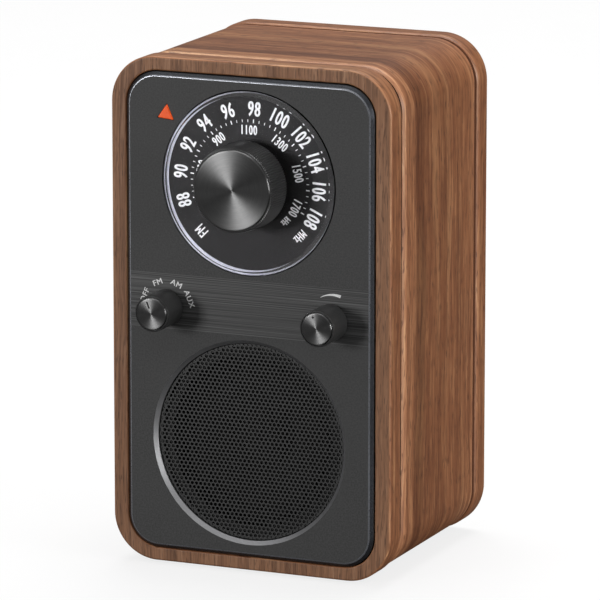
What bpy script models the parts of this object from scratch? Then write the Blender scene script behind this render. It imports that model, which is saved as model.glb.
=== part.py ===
"""Tabletop radio with a round tuning dial, two small knobs and one loudspeaker in a wooden cabinet.

Metres, +Z up. The front faces -Y and the origin is the bottom centre of the whole radio's box.
A "depth" below is measured from the cabinet's front face: negative towards the listener,
positive into the cabinet. A "height" is measured from the underside of the cabinet's frames.
"""

import math

import bmesh
import bpy
from mathutils import Matrix, Vector

MM = 0.001
CLEARANCE = 0.3 * MM  # between pieces that rest on each other or fit into each other
THROUGH = 3.0 * MM  # how far a cutter runs past the face that it opens

# Sides of the round pieces, from the largest to the smallest.
LARGE_SIDES = 40
MEDIUM_SIDES = 28
SMALL_SIDES = 20
TINY_SIDES = 10
CORNER_STEPS = 6
ROLL_STEPS = 4
DOME_STEPS = 4

# Cabinet: a veneered sleeve between two slightly larger frames, with a groove at each joint.
CABINET_WIDTH = 96.5 * MM
CABINET_HEIGHT = 165.0 * MM
CABINET_DEPTH = 82.5 * MM
CABINET_CORNER = 15.0 * MM
FRAME_THICKNESS = 9.0 * MM
FRAME_OUTER_EDGE = 0.8 * MM
FRONT_GROOVE_EDGE = 0.8 * MM
REAR_GROOVE_EDGE = 2.0 * MM
SLEEVE_INSET = 0.45 * MM
SLEEVE_WALL = 7.25 * MM
SLEEVE_FRONT_EDGE = 3.0 * MM
SLEEVE_REAR_EDGE = 1.5 * MM
NECK_LENGTH = 2.0 * MM  # of the lower step that makes the sleeve's front groove
NECK_DROP = 3.4 * MM
FOOT_DROP = 1.0 * MM
FOOT_RADIUS = 4.5 * MM
FOOT_CHAMFER = 0.4 * MM
FOOT_SPREAD = 56.0 * MM
FOOT_SETBACK = 11.0 * MM  # from each end of the sleeve to a foot's centre

# Front panel and the baffle behind it, both in one recess of the front frame.
FRONT_RIM_SIDE = 5.25 * MM  # of wood round the panel
FRONT_RIM_END = 4.4 * MM
PANEL_CORNER = 10.5 * MM
PANEL_THICKNESS = 3.0 * MM
PANEL_PROUD = 1.2 * MM
PANEL_CHAMFER = 1.1 * MM
PANEL_GAP = 0.4 * MM
BAFFLE_THICKNESS = 4.0 * MM
LIP_SIDE = 7.0 * MM
LIP_END = 5.0 * MM
LIP_CORNER = 4.0 * MM

# Tuning dial and its knob.
DIAL_DROP = 38.4 * MM  # of its centre, from the cabinet's top
DIAL_RADIUS = 29.5 * MM
DIAL_GAP = 0.5 * MM
DIAL_DISC_THICKNESS = 3.2 * MM
DIAL_BEVEL = 1.3 * MM
DIAL_PROUD = 1.3 * MM  # of the front panel
SCALE_THICKNESS = 0.6 * MM
TUNING_KNOB_RADIUS = 14.2 * MM
TUNING_KNOB_REACH = 13.1 * MM  # of its cap, from the front panel
TUNING_CAP_RADIUS = 12.9 * MM
TUNING_SHAFT_RADIUS = 3.0 * MM

# Function and volume knobs.
SMALL_KNOB_SPREAD = 57.0 * MM
SMALL_KNOB_HEIGHT = 84.4 * MM
SMALL_KNOB_RADIUS = 5.9 * MM
SMALL_KNOB_REACH = 12.2 * MM
SMALL_CAP_RADIUS = 5.2 * MM
SMALL_SHAFT_RADIUS = 2.0 * MM
SMALL_KNOB_GAP = 0.5 * MM

# Shapes that both knob sizes share.
CAP_THICKNESS = 1.1 * MM
CAP_PROUD = 0.4 * MM
CAP_EDGE = 0.4 * MM
KNOB_EDGE = 0.5 * MM
KNOB_ROOF = 3.0 * MM  # of knob left between its shaft's bore and the pocket for its cap

# Tuning pointer: a small triangle that points at the dial's centre.
POINTER_ANGLE = math.radians(144.3)
POINTER_DISTANCE = 35.1 * MM
POINTER_LENGTH = 4.7 * MM
POINTER_WIDTH = 4.6 * MM
POINTER_PROUD = 0.3 * MM
LED_RADIUS = 1.5 * MM
LED_LENGTH = 5.0 * MM

# Controls behind the baffle, and the board that they are soldered to.
CONTROL_DEPTH = 8.6 * MM
TUNER_SIZE = 20.0 * MM
SWITCH_SIZE = 13.0 * MM
BUSHING_WALL = 1.0 * MM
BUSHING_LENGTH = 3.4 * MM
BOARD_WIDTH = 66.0 * MM
BOARD_FOOT = 7.6 * MM  # of its lower edge, below the axes of the small controls
BOARD_DROP = 12.0 * MM  # of its top edge, from the cabinet's top
BOARD_THICKNESS = 1.6 * MM
CONNECTOR_HEIGHT = 5.0 * MM
CONNECTOR_RISE = 6.0 * MM  # of its middle, above the board's foot
BOSS_RADIUS = 3.0 * MM
BOSS_INSET = 4.2 * MM
BOSS_RISE = 30.2 * MM  # above the board's foot

# Loudspeaker.
SPEAKER_HEIGHT = 42.3 * MM
GRILLE_OPENING = 32.3 * MM
GRILLE_CHAMFER = 1.2 * MM
GRILLE_RECESS = 1.7 * MM
GRILLE_THICKNESS = 0.6 * MM
GRILLE_ROUND = 0.6 * MM
SPEAKER_HOLE = 28.0 * MM
FLANGE_SIZE = 63.0 * MM
FLANGE_CORNER = 9.0 * MM
FLANGE_THICKNESS = 1.2 * MM
SPEAKER_SCREW_SPACING = 52.0 * MM
BASKET_WALL = 1.0 * MM
BASKET_LENGTH = 15.0 * MM  # from the flange's front to the back of its floor
BASKET_MOUTH = 27.5 * MM
BASKET_FLOOR = 17.4 * MM
CONE_MOUTH = 23.5 * MM
CONE_LENGTH = 7.0 * MM
CONE_SETBACK = 2.2 * MM
CONE_WALL = 0.6 * MM
DUST_CAP_RADIUS = 9.0 * MM
DUST_CAP_RISE = 3.6 * MM
TERMINAL_WIDTH = 10.0 * MM
TERMINAL_HEIGHT = 3.0 * MM
TERMINAL_LENGTH = 5.0 * MM
TERMINAL_RISE = 29.6 * MM  # of its middle, above the speaker's axis
TERMINAL_X = 4.0 * MM
COIL_RADIUS = 6.6 * MM
COIL_WALL = 0.5 * MM
COIL_LENGTH = 12.0 * MM
COIL_GAP = 0.4 * MM
PLATE_RADIUS = 17.0 * MM
PLATE_THICKNESS = 3.0 * MM
MAGNET_RADIUS = 18.0 * MM
MAGNET_BORE = 10.0 * MM
MAGNET_THICKNESS = 8.0 * MM
SPIDER_THICKNESS = 0.5 * MM
SPIDER_LEDGE = 2.0 * MM
SPIDER_ROOM = 2.0 * MM  # between its ledge and the basket's floor

# Ferrite rod aerial on its bracket, behind the board.
ROD_RADIUS = 4.0 * MM
ROD_LENGTH = 58.0 * MM
ROD_DROP = 10.0 * MM  # of its axis, from the board's top edge
ROD_STANDOFF = 14.0 * MM  # of its axis, from the back of the board
ROD_COIL_LENGTH = 20.0 * MM
ROD_COIL_WALL = 1.4 * MM
BRACKET_SPREAD = 40.0 * MM
BRACKET_WIDTH = 5.0 * MM
BRACKET_RING = 2.2 * MM
BRACKET_BASE = 2.0 * MM

# Rear cover, in the recess of the rear frame, and the sockets on it.
REAR_RIM = 6.5 * MM  # of wood round the cover
REAR_CORNER = 8.5 * MM
REAR_COVER_THICKNESS = 3.0 * MM
REAR_COVER_SETBACK = 1.0 * MM
REAR_LEDGE = 4.3 * MM
REAR_LEDGE_CORNER = 1.0 * MM
SOCKET_HEIGHT = 28.0 * MM
SOCKET_SPREAD = 20.0 * MM
SOCKET_LENGTH = 12.0 * MM
SOCKET_BODY = 9.5 * MM
SOCKET_NOSE = 4.0 * MM
DC_BORE = 2.9 * MM
DC_PIN = 1.0 * MM
AUX_BORE = 1.8 * MM
SOCKET_BORE_DEPTH = 10.0 * MM
JACK_BOARD_WIDTH = 48.0 * MM
JACK_BOARD_HEIGHT = 16.0 * MM
POST_RADIUS = 2.5 * MM

# Screws: all go in from behind.
SCREW_RADIUS = 1.1 * MM
SCREW_HEAD_RADIUS = 2.0 * MM
SCREW_HEAD_THICKNESS = 1.4 * MM
SCREW_BITE = 2.8 * MM
FRAME_SCREW_SPREAD = 110.0 * MM
REAR_SCREW_SPREAD = 120.0 * MM

# Where the rest follows from.
PANEL_WIDTH = CABINET_WIDTH - 2 * (FRONT_RIM_SIDE + PANEL_GAP)
PANEL_HEIGHT = CABINET_HEIGHT - 2 * (FRONT_RIM_END + PANEL_GAP)
DIAL_HEIGHT = CABINET_HEIGHT - DIAL_DROP
BOARD_TOP = CABINET_HEIGHT - BOARD_DROP
BOARD_BOTTOM = SMALL_KNOB_HEIGHT - BOARD_FOOT
BOARD_HEIGHT = BOARD_TOP - BOARD_BOTTOM
BOSS_HEIGHT = BOARD_BOTTOM + BOSS_RISE
ROD_HEIGHT = BOARD_TOP - ROD_DROP
PANEL_FRONT = -PANEL_PROUD
PANEL_BACK = PANEL_FRONT + PANEL_THICKNESS
BAFFLE_FRONT = PANEL_BACK + CLEARANCE
BAFFLE_BACK = BAFFLE_FRONT + BAFFLE_THICKNESS
RECESS_BACK = BAFFLE_BACK + CLEARANCE
MOUNT_FACE = BAFFLE_BACK + CLEARANCE  # where the parts behind the baffle start
SLEEVE_FRONT = FRAME_THICKNESS + CLEARANCE
SLEEVE_BACK = CABINET_DEPTH - FRAME_THICKNESS - CLEARANCE
REAR_FRAME_FRONT = CABINET_DEPTH - FRAME_THICKNESS
COVER_BACK = CABINET_DEPTH - REAR_COVER_SETBACK
COVER_FRONT = COVER_BACK - REAR_COVER_THICKNESS
LEDGE_BACK = COVER_FRONT - CLEARANCE
KNOB_REACH = PANEL_PROUD + TUNING_KNOB_REACH
FRONT_Y = (KNOB_REACH - CABINET_DEPTH) / 2
MIDDLE = CABINET_HEIGHT / 2
INNER_WIDTH = CABINET_WIDTH - 2 * (SLEEVE_INSET + SLEEVE_WALL)
INNER_HEIGHT = CABINET_HEIGHT - 2 * (SLEEVE_INSET + SLEEVE_WALL)
SMALL_KNOB_X = SMALL_KNOB_SPREAD / 2
BOARD_FRONT = MOUNT_FACE + CONTROL_DEPTH + CLEARANCE
BOARD_BACK = BOARD_FRONT + BOARD_THICKNESS
JACK_BOARD_BACK = COVER_FRONT - SOCKET_LENGTH - CLEARANCE
JACK_BOARD_FRONT = JACK_BOARD_BACK - BOARD_THICKNESS
BASKET_BACK = MOUNT_FACE + BASKET_LENGTH
PLATE_FRONT = BASKET_BACK + CLEARANCE
MAGNET_FRONT = PLATE_FRONT + PLATE_THICKNESS + CLEARANCE
YOKE_FRONT = MAGNET_FRONT + MAGNET_THICKNESS + CLEARANCE
CONE_FRONT = MOUNT_FACE + CONE_SETBACK
CONE_BACK = CONE_FRONT + CONE_LENGTH
SCREW_HOLE = SCREW_RADIUS + CLEARANCE

WALNUT = ("walnut_veneer", (0.23, 0.115, 0.06), 0.45, 0.0)
PANEL_PAINT = ("panel_grey", (0.055, 0.055, 0.055), 0.5, 0.4)
BLACK_PLASTIC = ("black_plastic", (0.02, 0.02, 0.02), 0.55, 0.0)
KNOB_METAL = ("knob_metal", (0.16, 0.16, 0.165), 0.3, 1.0)
KNOB_BLACK = ("knob_black", (0.025, 0.025, 0.026), 0.4, 0.3)
ACRYLIC = ("acrylic", (0.85, 0.87, 0.95), 0.03, 0.0)
SCALE_PRINT = ("scale_print", (0.03, 0.028, 0.027), 0.4, 0.0)
GRILLE_BLACK = ("grille_black", (0.03, 0.03, 0.03), 0.45, 0.6)
ORANGE_LENS = ("orange_lens", (1.0, 0.12, 0.01), 0.25, 0.0)
LED_EPOXY = ("led_epoxy", (0.9, 0.35, 0.1), 0.2, 0.0)
STEEL = ("zinc_steel", (0.55, 0.55, 0.56), 0.35, 1.0)
BRASS = ("brass", (0.75, 0.55, 0.25), 0.3, 1.0)
FERRITE = ("ferrite", (0.06, 0.06, 0.065), 0.6, 0.2)
PAPER = ("cone_paper", (0.045, 0.043, 0.04), 0.85, 0.0)
RUBBER = ("rubber", (0.02, 0.02, 0.02), 0.8, 0.0)
COPPER = ("copper_winding", (0.7, 0.28, 0.12), 0.35, 1.0)
CIRCUIT = ("circuit_board", (0.02, 0.16, 0.06), 0.5, 0.0)
CLOTH = ("treated_cloth", (0.45, 0.3, 0.12), 0.9, 0.0)
INSULATION = ("wire_insulation", (0.03, 0.03, 0.035), 0.5, 0.0)


def clear_scene():
    for old in list(bpy.data.objects):
        bpy.data.objects.remove(old)


def new_collection(name):
    made = bpy.data.collections.new(name)
    bpy.context.scene.collection.children.link(made)
    return made


clear_scene()
RADIO = new_collection("tabletop_radio")
CUTTERS = new_collection("cutters")


def material(finish):
    name, colour, roughness, metallic = finish
    made = bpy.data.materials.get(name) or bpy.data.materials.new(name)
    made.use_nodes = True
    surface = made.node_tree.nodes["Principled BSDF"]
    surface.inputs["Base Color"].default_value = (*colour, 1.0)
    surface.inputs["Roughness"].default_value = roughness
    surface.inputs["Metallic"].default_value = metallic
    return made


def place(name, mesh, finish, location=(0, 0, 0), rotation=(0, 0, 0)):
    """Puts a mesh in the radio's collection, or among the cutters if it has no finish."""
    made = bpy.data.objects.new(name, mesh)
    made.location = location
    made.rotation_euler = rotation
    if finish:
        mesh.materials.append(material(finish))
        RADIO.objects.link(made)
    else:
        made.hide_render = True
        made.display_type = "WIRE"
        CUTTERS.objects.link(made)
    return made


def boolean(target, tool, operation):
    modifier = target.modifiers.new(f"{operation.lower()}_{tool.name}", "BOOLEAN")
    modifier.operation = operation
    modifier.object = tool


def cut(target, *tools):
    for tool in tools:
        boolean(target, tool, "DIFFERENCE")


def join(target, *tools):
    for tool in tools:
        boolean(target, tool, "UNION")


def at(x, height, depth=0.0):
    """The point at that place across the front, height up the cabinet and depth into it."""
    return Vector((x, FRONT_Y + depth, FOOT_DROP + height))


def bevel_edges(shape, keep, size, segments):
    """Rounds, or with one segment chamfers, the edges that keep() picks."""
    edges = [edge for edge in shape.edges if keep(*(v.co for v in edge.verts))]
    bmesh.ops.bevel(shape, geom=edges, offset=size, segments=segments, profile=0.5, affect="EDGES")


def box(name, size, centre, finish=None, corner=0.0, near_edge=(0.0, 1), far_edge=(0.0, 1),
        steps=CORNER_STEPS):
    """A box of size (across, into, up), with its four corners round in the front view.
    near_edge and far_edge are the (size, segments) of the bevel round its front and its back."""
    shape = bmesh.new()
    bmesh.ops.create_cube(shape, size=1.0, matrix=Matrix.Diagonal((*size, 1.0)))
    tiny = 1e-6
    if corner:
        bevel_edges(shape, lambda a, b: abs(a.y - b.y) > tiny, corner, steps)
    for side, (width, segments) in ((-1, near_edge), (1, far_edge)):
        plane = side * size[1] / 2
        if width:
            bevel_edges(
                shape,
                lambda a, b, plane=plane: abs(a.y - plane) < tiny and abs(b.y - plane) < tiny,
                width,
                segments,
            )
    mesh = bpy.data.meshes.new(name)
    shape.to_mesh(mesh)
    shape.free()
    mesh.shade_smooth()
    mesh.set_sharp_from_angle(angle=math.radians(30))
    return place(name, mesh, finish, centre)


def plate(name, width, height, near, far, finish=None, centre=(0.0, MIDDLE), **shape):
    """A box given by the depths of its two faces, and by its middle in the front view."""
    return box(name, (width, far - near, height), at(*centre, (near + far) / 2), finish, **shape)


def rod(name, radius, near, far, x, height, finish=None, sides=SMALL_SIDES, turn=0.0):
    """A straight round or prismatic bar along the depth."""
    shape = bmesh.new()
    bmesh.ops.create_cone(
        shape, cap_ends=True, segments=sides, radius1=radius, radius2=radius, depth=far - near
    )
    mesh = bpy.data.meshes.new(name)
    shape.to_mesh(mesh)
    shape.free()
    spin = Matrix.Rotation(math.pi / 2, 3, "X") @ Matrix.Rotation(turn, 3, "Z")
    return place(name, mesh, finish, at(x, height, (near + far) / 2), spin.to_euler())


def turned(name, profile, finish=None, x=0.0, height=0.0, steps=MEDIUM_SIDES, ring=False, upright=None):
    """A turned piece from (radius, depth) points that run down its outer side from front to back,
    and on up its inner side if it is a ring. With upright, a world place, the axis is vertical
    and the second number of each point is a height."""
    mesh = bpy.data.meshes.new(name)
    sign = 1 if upright else -1
    points = [(radius, 0.0, sign * along) for radius, along in profile]
    edges = [(i, i + 1) for i in range(len(points) - 1)]
    if ring:
        edges.append((len(points) - 1, 0))
    mesh.from_pydata(points, edges, [])
    rotation = (0, 0, 0) if upright else (math.pi / 2, 0, 0)
    made = place(name, mesh, finish, upright or at(x, height), rotation)
    screw = made.modifiers.new("turn", "SCREW")
    screw.axis = "Z"
    screw.steps = screw.render_steps = steps
    screw.use_merge_vertices = True
    screw.merge_threshold = 1e-5
    return made


def pan_screw(name, seat, x, height, bite=SCREW_BITE):
    """A pan-head screw from behind: its head bears on the depth called seat."""
    head = seat + CLEARANCE
    return turned(
        name,
        [
            (0, seat - bite),
            (SCREW_RADIUS * 0.5, seat - bite),
            (SCREW_RADIUS, seat - bite + SCREW_RADIUS),
            (SCREW_RADIUS, head),
            (SCREW_HEAD_RADIUS, head),
            (SCREW_HEAD_RADIUS, head + SCREW_HEAD_THICKNESS * 0.5),
            (SCREW_HEAD_RADIUS * 0.6, head + SCREW_HEAD_THICKNESS),
            (0, head + SCREW_HEAD_THICKNESS),
        ],
        STEEL,
        x,
        height,
        steps=TINY_SIDES,
    )


def pairs(spread, rise, middle):
    """The four corners of a rectangle about the centre line: (x, height), row by row."""
    return [(x * spread / 2, middle + z * rise / 2) for z in (-1, 1) for x in (-1, 1)]


def smooth_route(points, step):
    """Points a step apart along a smooth curve through the given points."""
    ends = [2 * points[0] - points[1], *points, 2 * points[-1] - points[-2]]
    route = []
    for before, start, end, after in zip(ends, ends[1:], ends[2:], ends[3:]):
        count = max(1, round((end - start).length / step))
        for i in range(count):
            t = i / count
            route.append(
                0.5
                * (
                    2 * start
                    + (end - before) * t
                    + (2 * before - 5 * start + 4 * end - after) * t**2
                    + (3 * start - before - 3 * end + after) * t**3
                )
            )
    return [*route, points[-1]]


def cable(name, points, radius):
    curve = bpy.data.curves.new(name, "CURVE")
    curve.dimensions = "3D"
    curve.bevel_depth = radius
    curve.bevel_resolution = 2
    curve.use_fill_caps = True
    route = smooth_route(points, 5 * radius)
    spline = curve.splines.new("POLY")
    spline.points.add(len(route) - 1)
    for point, place_at in zip(spline.points, route):
        point.co = (*place_at, 1.0)
    curve.materials.append(material(INSULATION))
    made = bpy.data.objects.new(name, curve)
    RADIO.objects.link(made)
    return made


def make_cabinet():
    recess_width = PANEL_WIDTH + 2 * PANEL_GAP
    recess_height = PANEL_HEIGHT + 2 * PANEL_GAP
    front = plate(
        "front_frame", CABINET_WIDTH, CABINET_HEIGHT, 0, FRAME_THICKNESS, WALNUT,
        corner=CABINET_CORNER, near_edge=(FRAME_OUTER_EDGE, 2), far_edge=(FRONT_GROOVE_EDGE, 2),
    )
    cut(
        front,
        plate("panel_recess", recess_width, recess_height, -THROUGH, RECESS_BACK,
              corner=PANEL_CORNER + PANEL_GAP),
        plate("front_lip_opening", PANEL_WIDTH - 2 * LIP_SIDE, PANEL_HEIGHT - 2 * LIP_END,
              RECESS_BACK - THROUGH, FRAME_THICKNESS + THROUGH, corner=LIP_CORNER),
    )
    sleeve_corner = CABINET_CORNER - SLEEVE_INSET
    sleeve = plate(
        "cabinet_sleeve", CABINET_WIDTH - 2 * SLEEVE_INSET, CABINET_HEIGHT - 2 * SLEEVE_INSET,
        SLEEVE_FRONT + NECK_LENGTH, SLEEVE_BACK, WALNUT,
        corner=sleeve_corner, near_edge=(SLEEVE_FRONT_EDGE, 3), far_edge=(SLEEVE_REAR_EDGE, 2),
    )
    neck_inset = 2 * (SLEEVE_INSET + NECK_DROP)
    join(sleeve, plate("sleeve_neck", CABINET_WIDTH - neck_inset, CABINET_HEIGHT - neck_inset,
                       SLEEVE_FRONT, SLEEVE_FRONT + 2 * NECK_LENGTH,
                       corner=sleeve_corner - NECK_DROP))
    cut(sleeve, plate("sleeve_hollow", INNER_WIDTH, INNER_HEIGHT, SLEEVE_FRONT - THROUGH,
                      SLEEVE_BACK + THROUGH, corner=sleeve_corner - SLEEVE_WALL))
    rear = plate(
        "rear_frame", CABINET_WIDTH, CABINET_HEIGHT, REAR_FRAME_FRONT, CABINET_DEPTH, WALNUT,
        corner=CABINET_CORNER, near_edge=(REAR_GROOVE_EDGE, 3), far_edge=(FRAME_OUTER_EDGE, 2),
    )
    cover_width, cover_height = cover_recess()
    cut(
        rear,
        plate("cover_recess", cover_width, cover_height, LEDGE_BACK, CABINET_DEPTH + THROUGH,
              corner=REAR_CORNER),
        plate("rear_ledge_opening", cover_width - 2 * REAR_LEDGE, cover_height - 2 * REAR_LEDGE,
              REAR_FRAME_FRONT - THROUGH, LEDGE_BACK + THROUGH, corner=REAR_LEDGE_CORNER),
    )
    for i, (x, y) in enumerate(
        (x, y)
        for y in (SLEEVE_FRONT + FOOT_SETBACK, SLEEVE_BACK - FOOT_SETBACK)
        for x in (-FOOT_SPREAD / 2, FOOT_SPREAD / 2)
    ):
        top = FOOT_DROP + SLEEVE_INSET - CLEARANCE
        turned(
            f"foot_{i + 1}",
            [(0, top), (FOOT_RADIUS, top), (FOOT_RADIUS, FOOT_CHAMFER),
             (FOOT_RADIUS - FOOT_CHAMFER, 0), (0, 0)],
            RUBBER, steps=SMALL_SIDES, upright=(x, FRONT_Y + y, 0),
        )
    return front, rear


def cover_recess():
    return CABINET_WIDTH - 2 * REAR_RIM, CABINET_HEIGHT - 2 * REAR_RIM


def make_front(front_frame):
    panel = plate(
        "front_panel", PANEL_WIDTH, PANEL_HEIGHT, PANEL_FRONT, PANEL_BACK, PANEL_PAINT,
        corner=PANEL_CORNER, near_edge=(PANEL_CHAMFER, 1),
    )
    baffle = plate(
        "baffle", PANEL_WIDTH, PANEL_HEIGHT, BAFFLE_FRONT, BAFFLE_BACK, BLACK_PLASTIC,
        corner=PANEL_CORNER,
    )
    opening = DIAL_RADIUS + DIAL_GAP
    cut(
        panel,
        rod("dial_opening", opening, PANEL_FRONT - THROUGH, PANEL_BACK + THROUGH, 0, DIAL_HEIGHT,
            sides=LARGE_SIDES),
        turned(
            "grille_opening",
            [(0, PANEL_FRONT - THROUGH), (GRILLE_OPENING + GRILLE_CHAMFER + THROUGH,
                                          PANEL_FRONT - THROUGH),
             (GRILLE_OPENING, PANEL_FRONT + GRILLE_CHAMFER),
             (GRILLE_OPENING, PANEL_BACK + THROUGH), (0, PANEL_BACK + THROUGH)],
            height=SPEAKER_HEIGHT, steps=LARGE_SIDES,
        ),
    )
    cut(
        baffle,
        rod("speaker_hole", SPEAKER_HOLE, BAFFLE_FRONT - THROUGH, BAFFLE_BACK + THROUGH, 0,
            SPEAKER_HEIGHT, sides=LARGE_SIDES),
        rod("tuner_hole", bushing(TUNING_SHAFT_RADIUS) + CLEARANCE, BAFFLE_FRONT - THROUGH,
            BAFFLE_BACK + THROUGH, 0, DIAL_HEIGHT),
    )
    for side, label in ((-1, "function"), (1, "volume")):
        hole = rod(f"{label}_hole", bushing(SMALL_SHAFT_RADIUS) + CLEARANCE,
                   PANEL_FRONT - THROUGH, BAFFLE_BACK + THROUGH, side * SMALL_KNOB_X,
                   SMALL_KNOB_HEIGHT)
        cut(panel, hole)
        cut(baffle, hole)
    make_pointer(panel, baffle)
    boss_x = BOARD_WIDTH / 2 - BOSS_INSET
    for i, side in enumerate((-1, 1)):
        boss_end = BOARD_FRONT - CLEARANCE
        join(baffle, rod(f"board_boss_{i + 1}", BOSS_RADIUS, BAFFLE_BACK - BAFFLE_THICKNESS / 2,
                         boss_end, side * boss_x, BOSS_HEIGHT, sides=TINY_SIDES))
        cut(baffle, rod(f"board_pilot_{i + 1}", SCREW_HOLE, boss_end - SCREW_BITE * 2,
                        boss_end + THROUGH, side * boss_x, BOSS_HEIGHT, sides=TINY_SIDES))
    lip_x = (PANEL_WIDTH / 2 - LIP_SIDE + INNER_WIDTH / 2) / 2
    for i, (x, z) in enumerate(pairs(2 * lip_x, FRAME_SCREW_SPREAD, MIDDLE)):
        seat = FRAME_THICKNESS
        bite = FRAME_THICKNESS - BAFFLE_BACK + SCREW_BITE
        hole = rod(f"frame_screw_hole_{i + 1}", SCREW_HOLE, seat - bite - CLEARANCE,
                   seat + THROUGH, x, z, sides=TINY_SIDES)
        cut(front_frame, hole)
        cut(baffle, hole)
        pan_screw(f"frame_screw_{i + 1}", seat, x, z, bite)
    return baffle


def bushing(shaft_radius):
    return shaft_radius + CLEARANCE + BUSHING_WALL


def make_pointer(panel, baffle):
    """The lens sits in the panel with its LED behind it, through the baffle."""
    x = POINTER_DISTANCE * math.cos(POINTER_ANGLE)
    height = DIAL_HEIGHT + POINTER_DISTANCE * math.sin(POINTER_ANGLE)
    cut(panel, pointer_bar("pointer_hole", 2 * CLEARANCE, PANEL_FRONT - THROUGH,
                           PANEL_BACK + THROUGH, x, height))
    pointer_bar("pointer_lens", 0.0, PANEL_FRONT - POINTER_PROUD, PANEL_BACK - CLEARANCE, x,
                height, ORANGE_LENS)
    cut(baffle, rod("led_hole", LED_RADIUS + CLEARANCE, BAFFLE_FRONT - THROUGH,
                    BAFFLE_BACK + THROUGH, x, height, sides=TINY_SIDES))
    turned(
        "pointer_led",
        [(0, BAFFLE_FRONT), (LED_RADIUS * 0.7, BAFFLE_FRONT + LED_RADIUS * 0.3),
         (LED_RADIUS, BAFFLE_FRONT + LED_RADIUS), (LED_RADIUS, BAFFLE_FRONT + LED_LENGTH),
         (0, BAFFLE_FRONT + LED_LENGTH)],
        LED_EPOXY, x, height, steps=TINY_SIDES,
    )


def pointer_bar(name, grow, near, far, x, height, finish=None):
    """A three-sided bar with one corner towards the dial's centre."""
    middle_to_corner = POINTER_LENGTH * 2 / 3
    bar = rod(name, middle_to_corner + grow, near, far, x, height, finish, sides=3,
              turn=POINTER_ANGLE + math.pi / 2)
    bar.data.transform(Matrix.Diagonal((POINTER_WIDTH / (math.sqrt(3) * middle_to_corner), 1, 1, 1)))
    return bar


def make_knob(name, x, height, base, tip, radius, cap_radius, shaft_radius):
    """A knob with a metal cap set in its face: base is the depth of its foot, tip of its cap."""
    face = tip + CAP_PROUD
    pocket = tip + CAP_THICKNESS + CLEARANCE
    bore = shaft_radius + CLEARANCE
    bore_end = pocket + KNOB_ROOF
    turned(
        name,
        [(0, pocket), (cap_radius + CLEARANCE, pocket), (cap_radius + CLEARANCE, face),
         (radius - KNOB_EDGE, face), (radius, face + KNOB_EDGE), (radius, base), (bore, base),
         (bore, bore_end), (0, bore_end)],
        KNOB_BLACK, x, height,
    )
    turned(
        f"{name}_cap",
        [(0, tip), (cap_radius - CAP_EDGE, tip), (cap_radius, tip + CAP_EDGE),
         (cap_radius, tip + CAP_THICKNESS), (0, tip + CAP_THICKNESS)],
        KNOB_METAL, x, height,
    )
    return bore_end + CLEARANCE


def make_shaft(name, tip, radius, x, height):
    """From inside its knob to inside its control, with a small lead-in at both ends."""
    end = MOUNT_FACE + CONTROL_DEPTH / 2
    lead = radius * 0.2
    turned(
        name,
        [(0, tip), (radius - lead, tip), (radius, tip + lead), (radius, end - lead),
         (radius - lead, end), (0, end)],
        BRASS, x, height, steps=SMALL_SIDES,
    )


def make_control(name, size, shaft_radius, x, height):
    """A potentiometer or switch: a square can with a bushing that reaches into the baffle."""
    bore = shaft_radius + CLEARANCE
    can = plate(name, size, size, MOUNT_FACE, MOUNT_FACE + CONTROL_DEPTH, STEEL,
                centre=(x, height), corner=size * 0.12, steps=2)
    join(can, rod(f"{name}_bushing", bushing(shaft_radius), MOUNT_FACE - BUSHING_LENGTH,
                  MOUNT_FACE + CONTROL_DEPTH / 4, x, height))
    cut(can, rod(f"{name}_bore", bore, MOUNT_FACE - 2 * BUSHING_LENGTH,
                 MOUNT_FACE + CONTROL_DEPTH / 2 + CLEARANCE, x, height, sides=SMALL_SIDES))


def make_tuning():
    disc_front = PANEL_FRONT - DIAL_PROUD
    disc_back = disc_front + DIAL_DISC_THICKNESS
    hole = TUNING_SHAFT_RADIUS + CLEARANCE
    turned(
        "dial_disc",
        [(DIAL_RADIUS - DIAL_BEVEL, disc_front), (DIAL_RADIUS, disc_front + DIAL_BEVEL),
         (DIAL_RADIUS, disc_back), (hole, disc_back), (hole, disc_front)],
        ACRYLIC, height=DIAL_HEIGHT, steps=LARGE_SIDES, ring=True,
    )
    scale_front = disc_back + CLEARANCE
    turned(
        "dial_scale",
        [(DIAL_RADIUS - CLEARANCE, scale_front), (DIAL_RADIUS - CLEARANCE,
                                                  scale_front + SCALE_THICKNESS),
         (hole, scale_front + SCALE_THICKNESS), (hole, scale_front)],
        SCALE_PRINT, height=DIAL_HEIGHT, steps=LARGE_SIDES, ring=True,
    )
    tip = make_knob(
        "tuning_knob", 0, DIAL_HEIGHT, disc_front - CLEARANCE, PANEL_FRONT - TUNING_KNOB_REACH,
        TUNING_KNOB_RADIUS, TUNING_CAP_RADIUS, TUNING_SHAFT_RADIUS,
    )
    make_shaft("tuning_shaft", tip, TUNING_SHAFT_RADIUS, 0, DIAL_HEIGHT)
    make_control("tuning_potentiometer", TUNER_SIZE, TUNING_SHAFT_RADIUS, 0, DIAL_HEIGHT)


def make_small_controls():
    for side, label, control in ((-1, "function", "switch"), (1, "volume", "potentiometer")):
        x = side * SMALL_KNOB_X
        tip = make_knob(
            f"{label}_knob", x, SMALL_KNOB_HEIGHT, PANEL_FRONT - SMALL_KNOB_GAP,
            PANEL_FRONT - SMALL_KNOB_REACH, SMALL_KNOB_RADIUS, SMALL_CAP_RADIUS,
            SMALL_SHAFT_RADIUS,
        )
        make_shaft(f"{label}_shaft", tip, SMALL_SHAFT_RADIUS, x, SMALL_KNOB_HEIGHT)
        make_control(f"{label}_{control}", SWITCH_SIZE, SMALL_SHAFT_RADIUS, x, SMALL_KNOB_HEIGHT)


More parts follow.
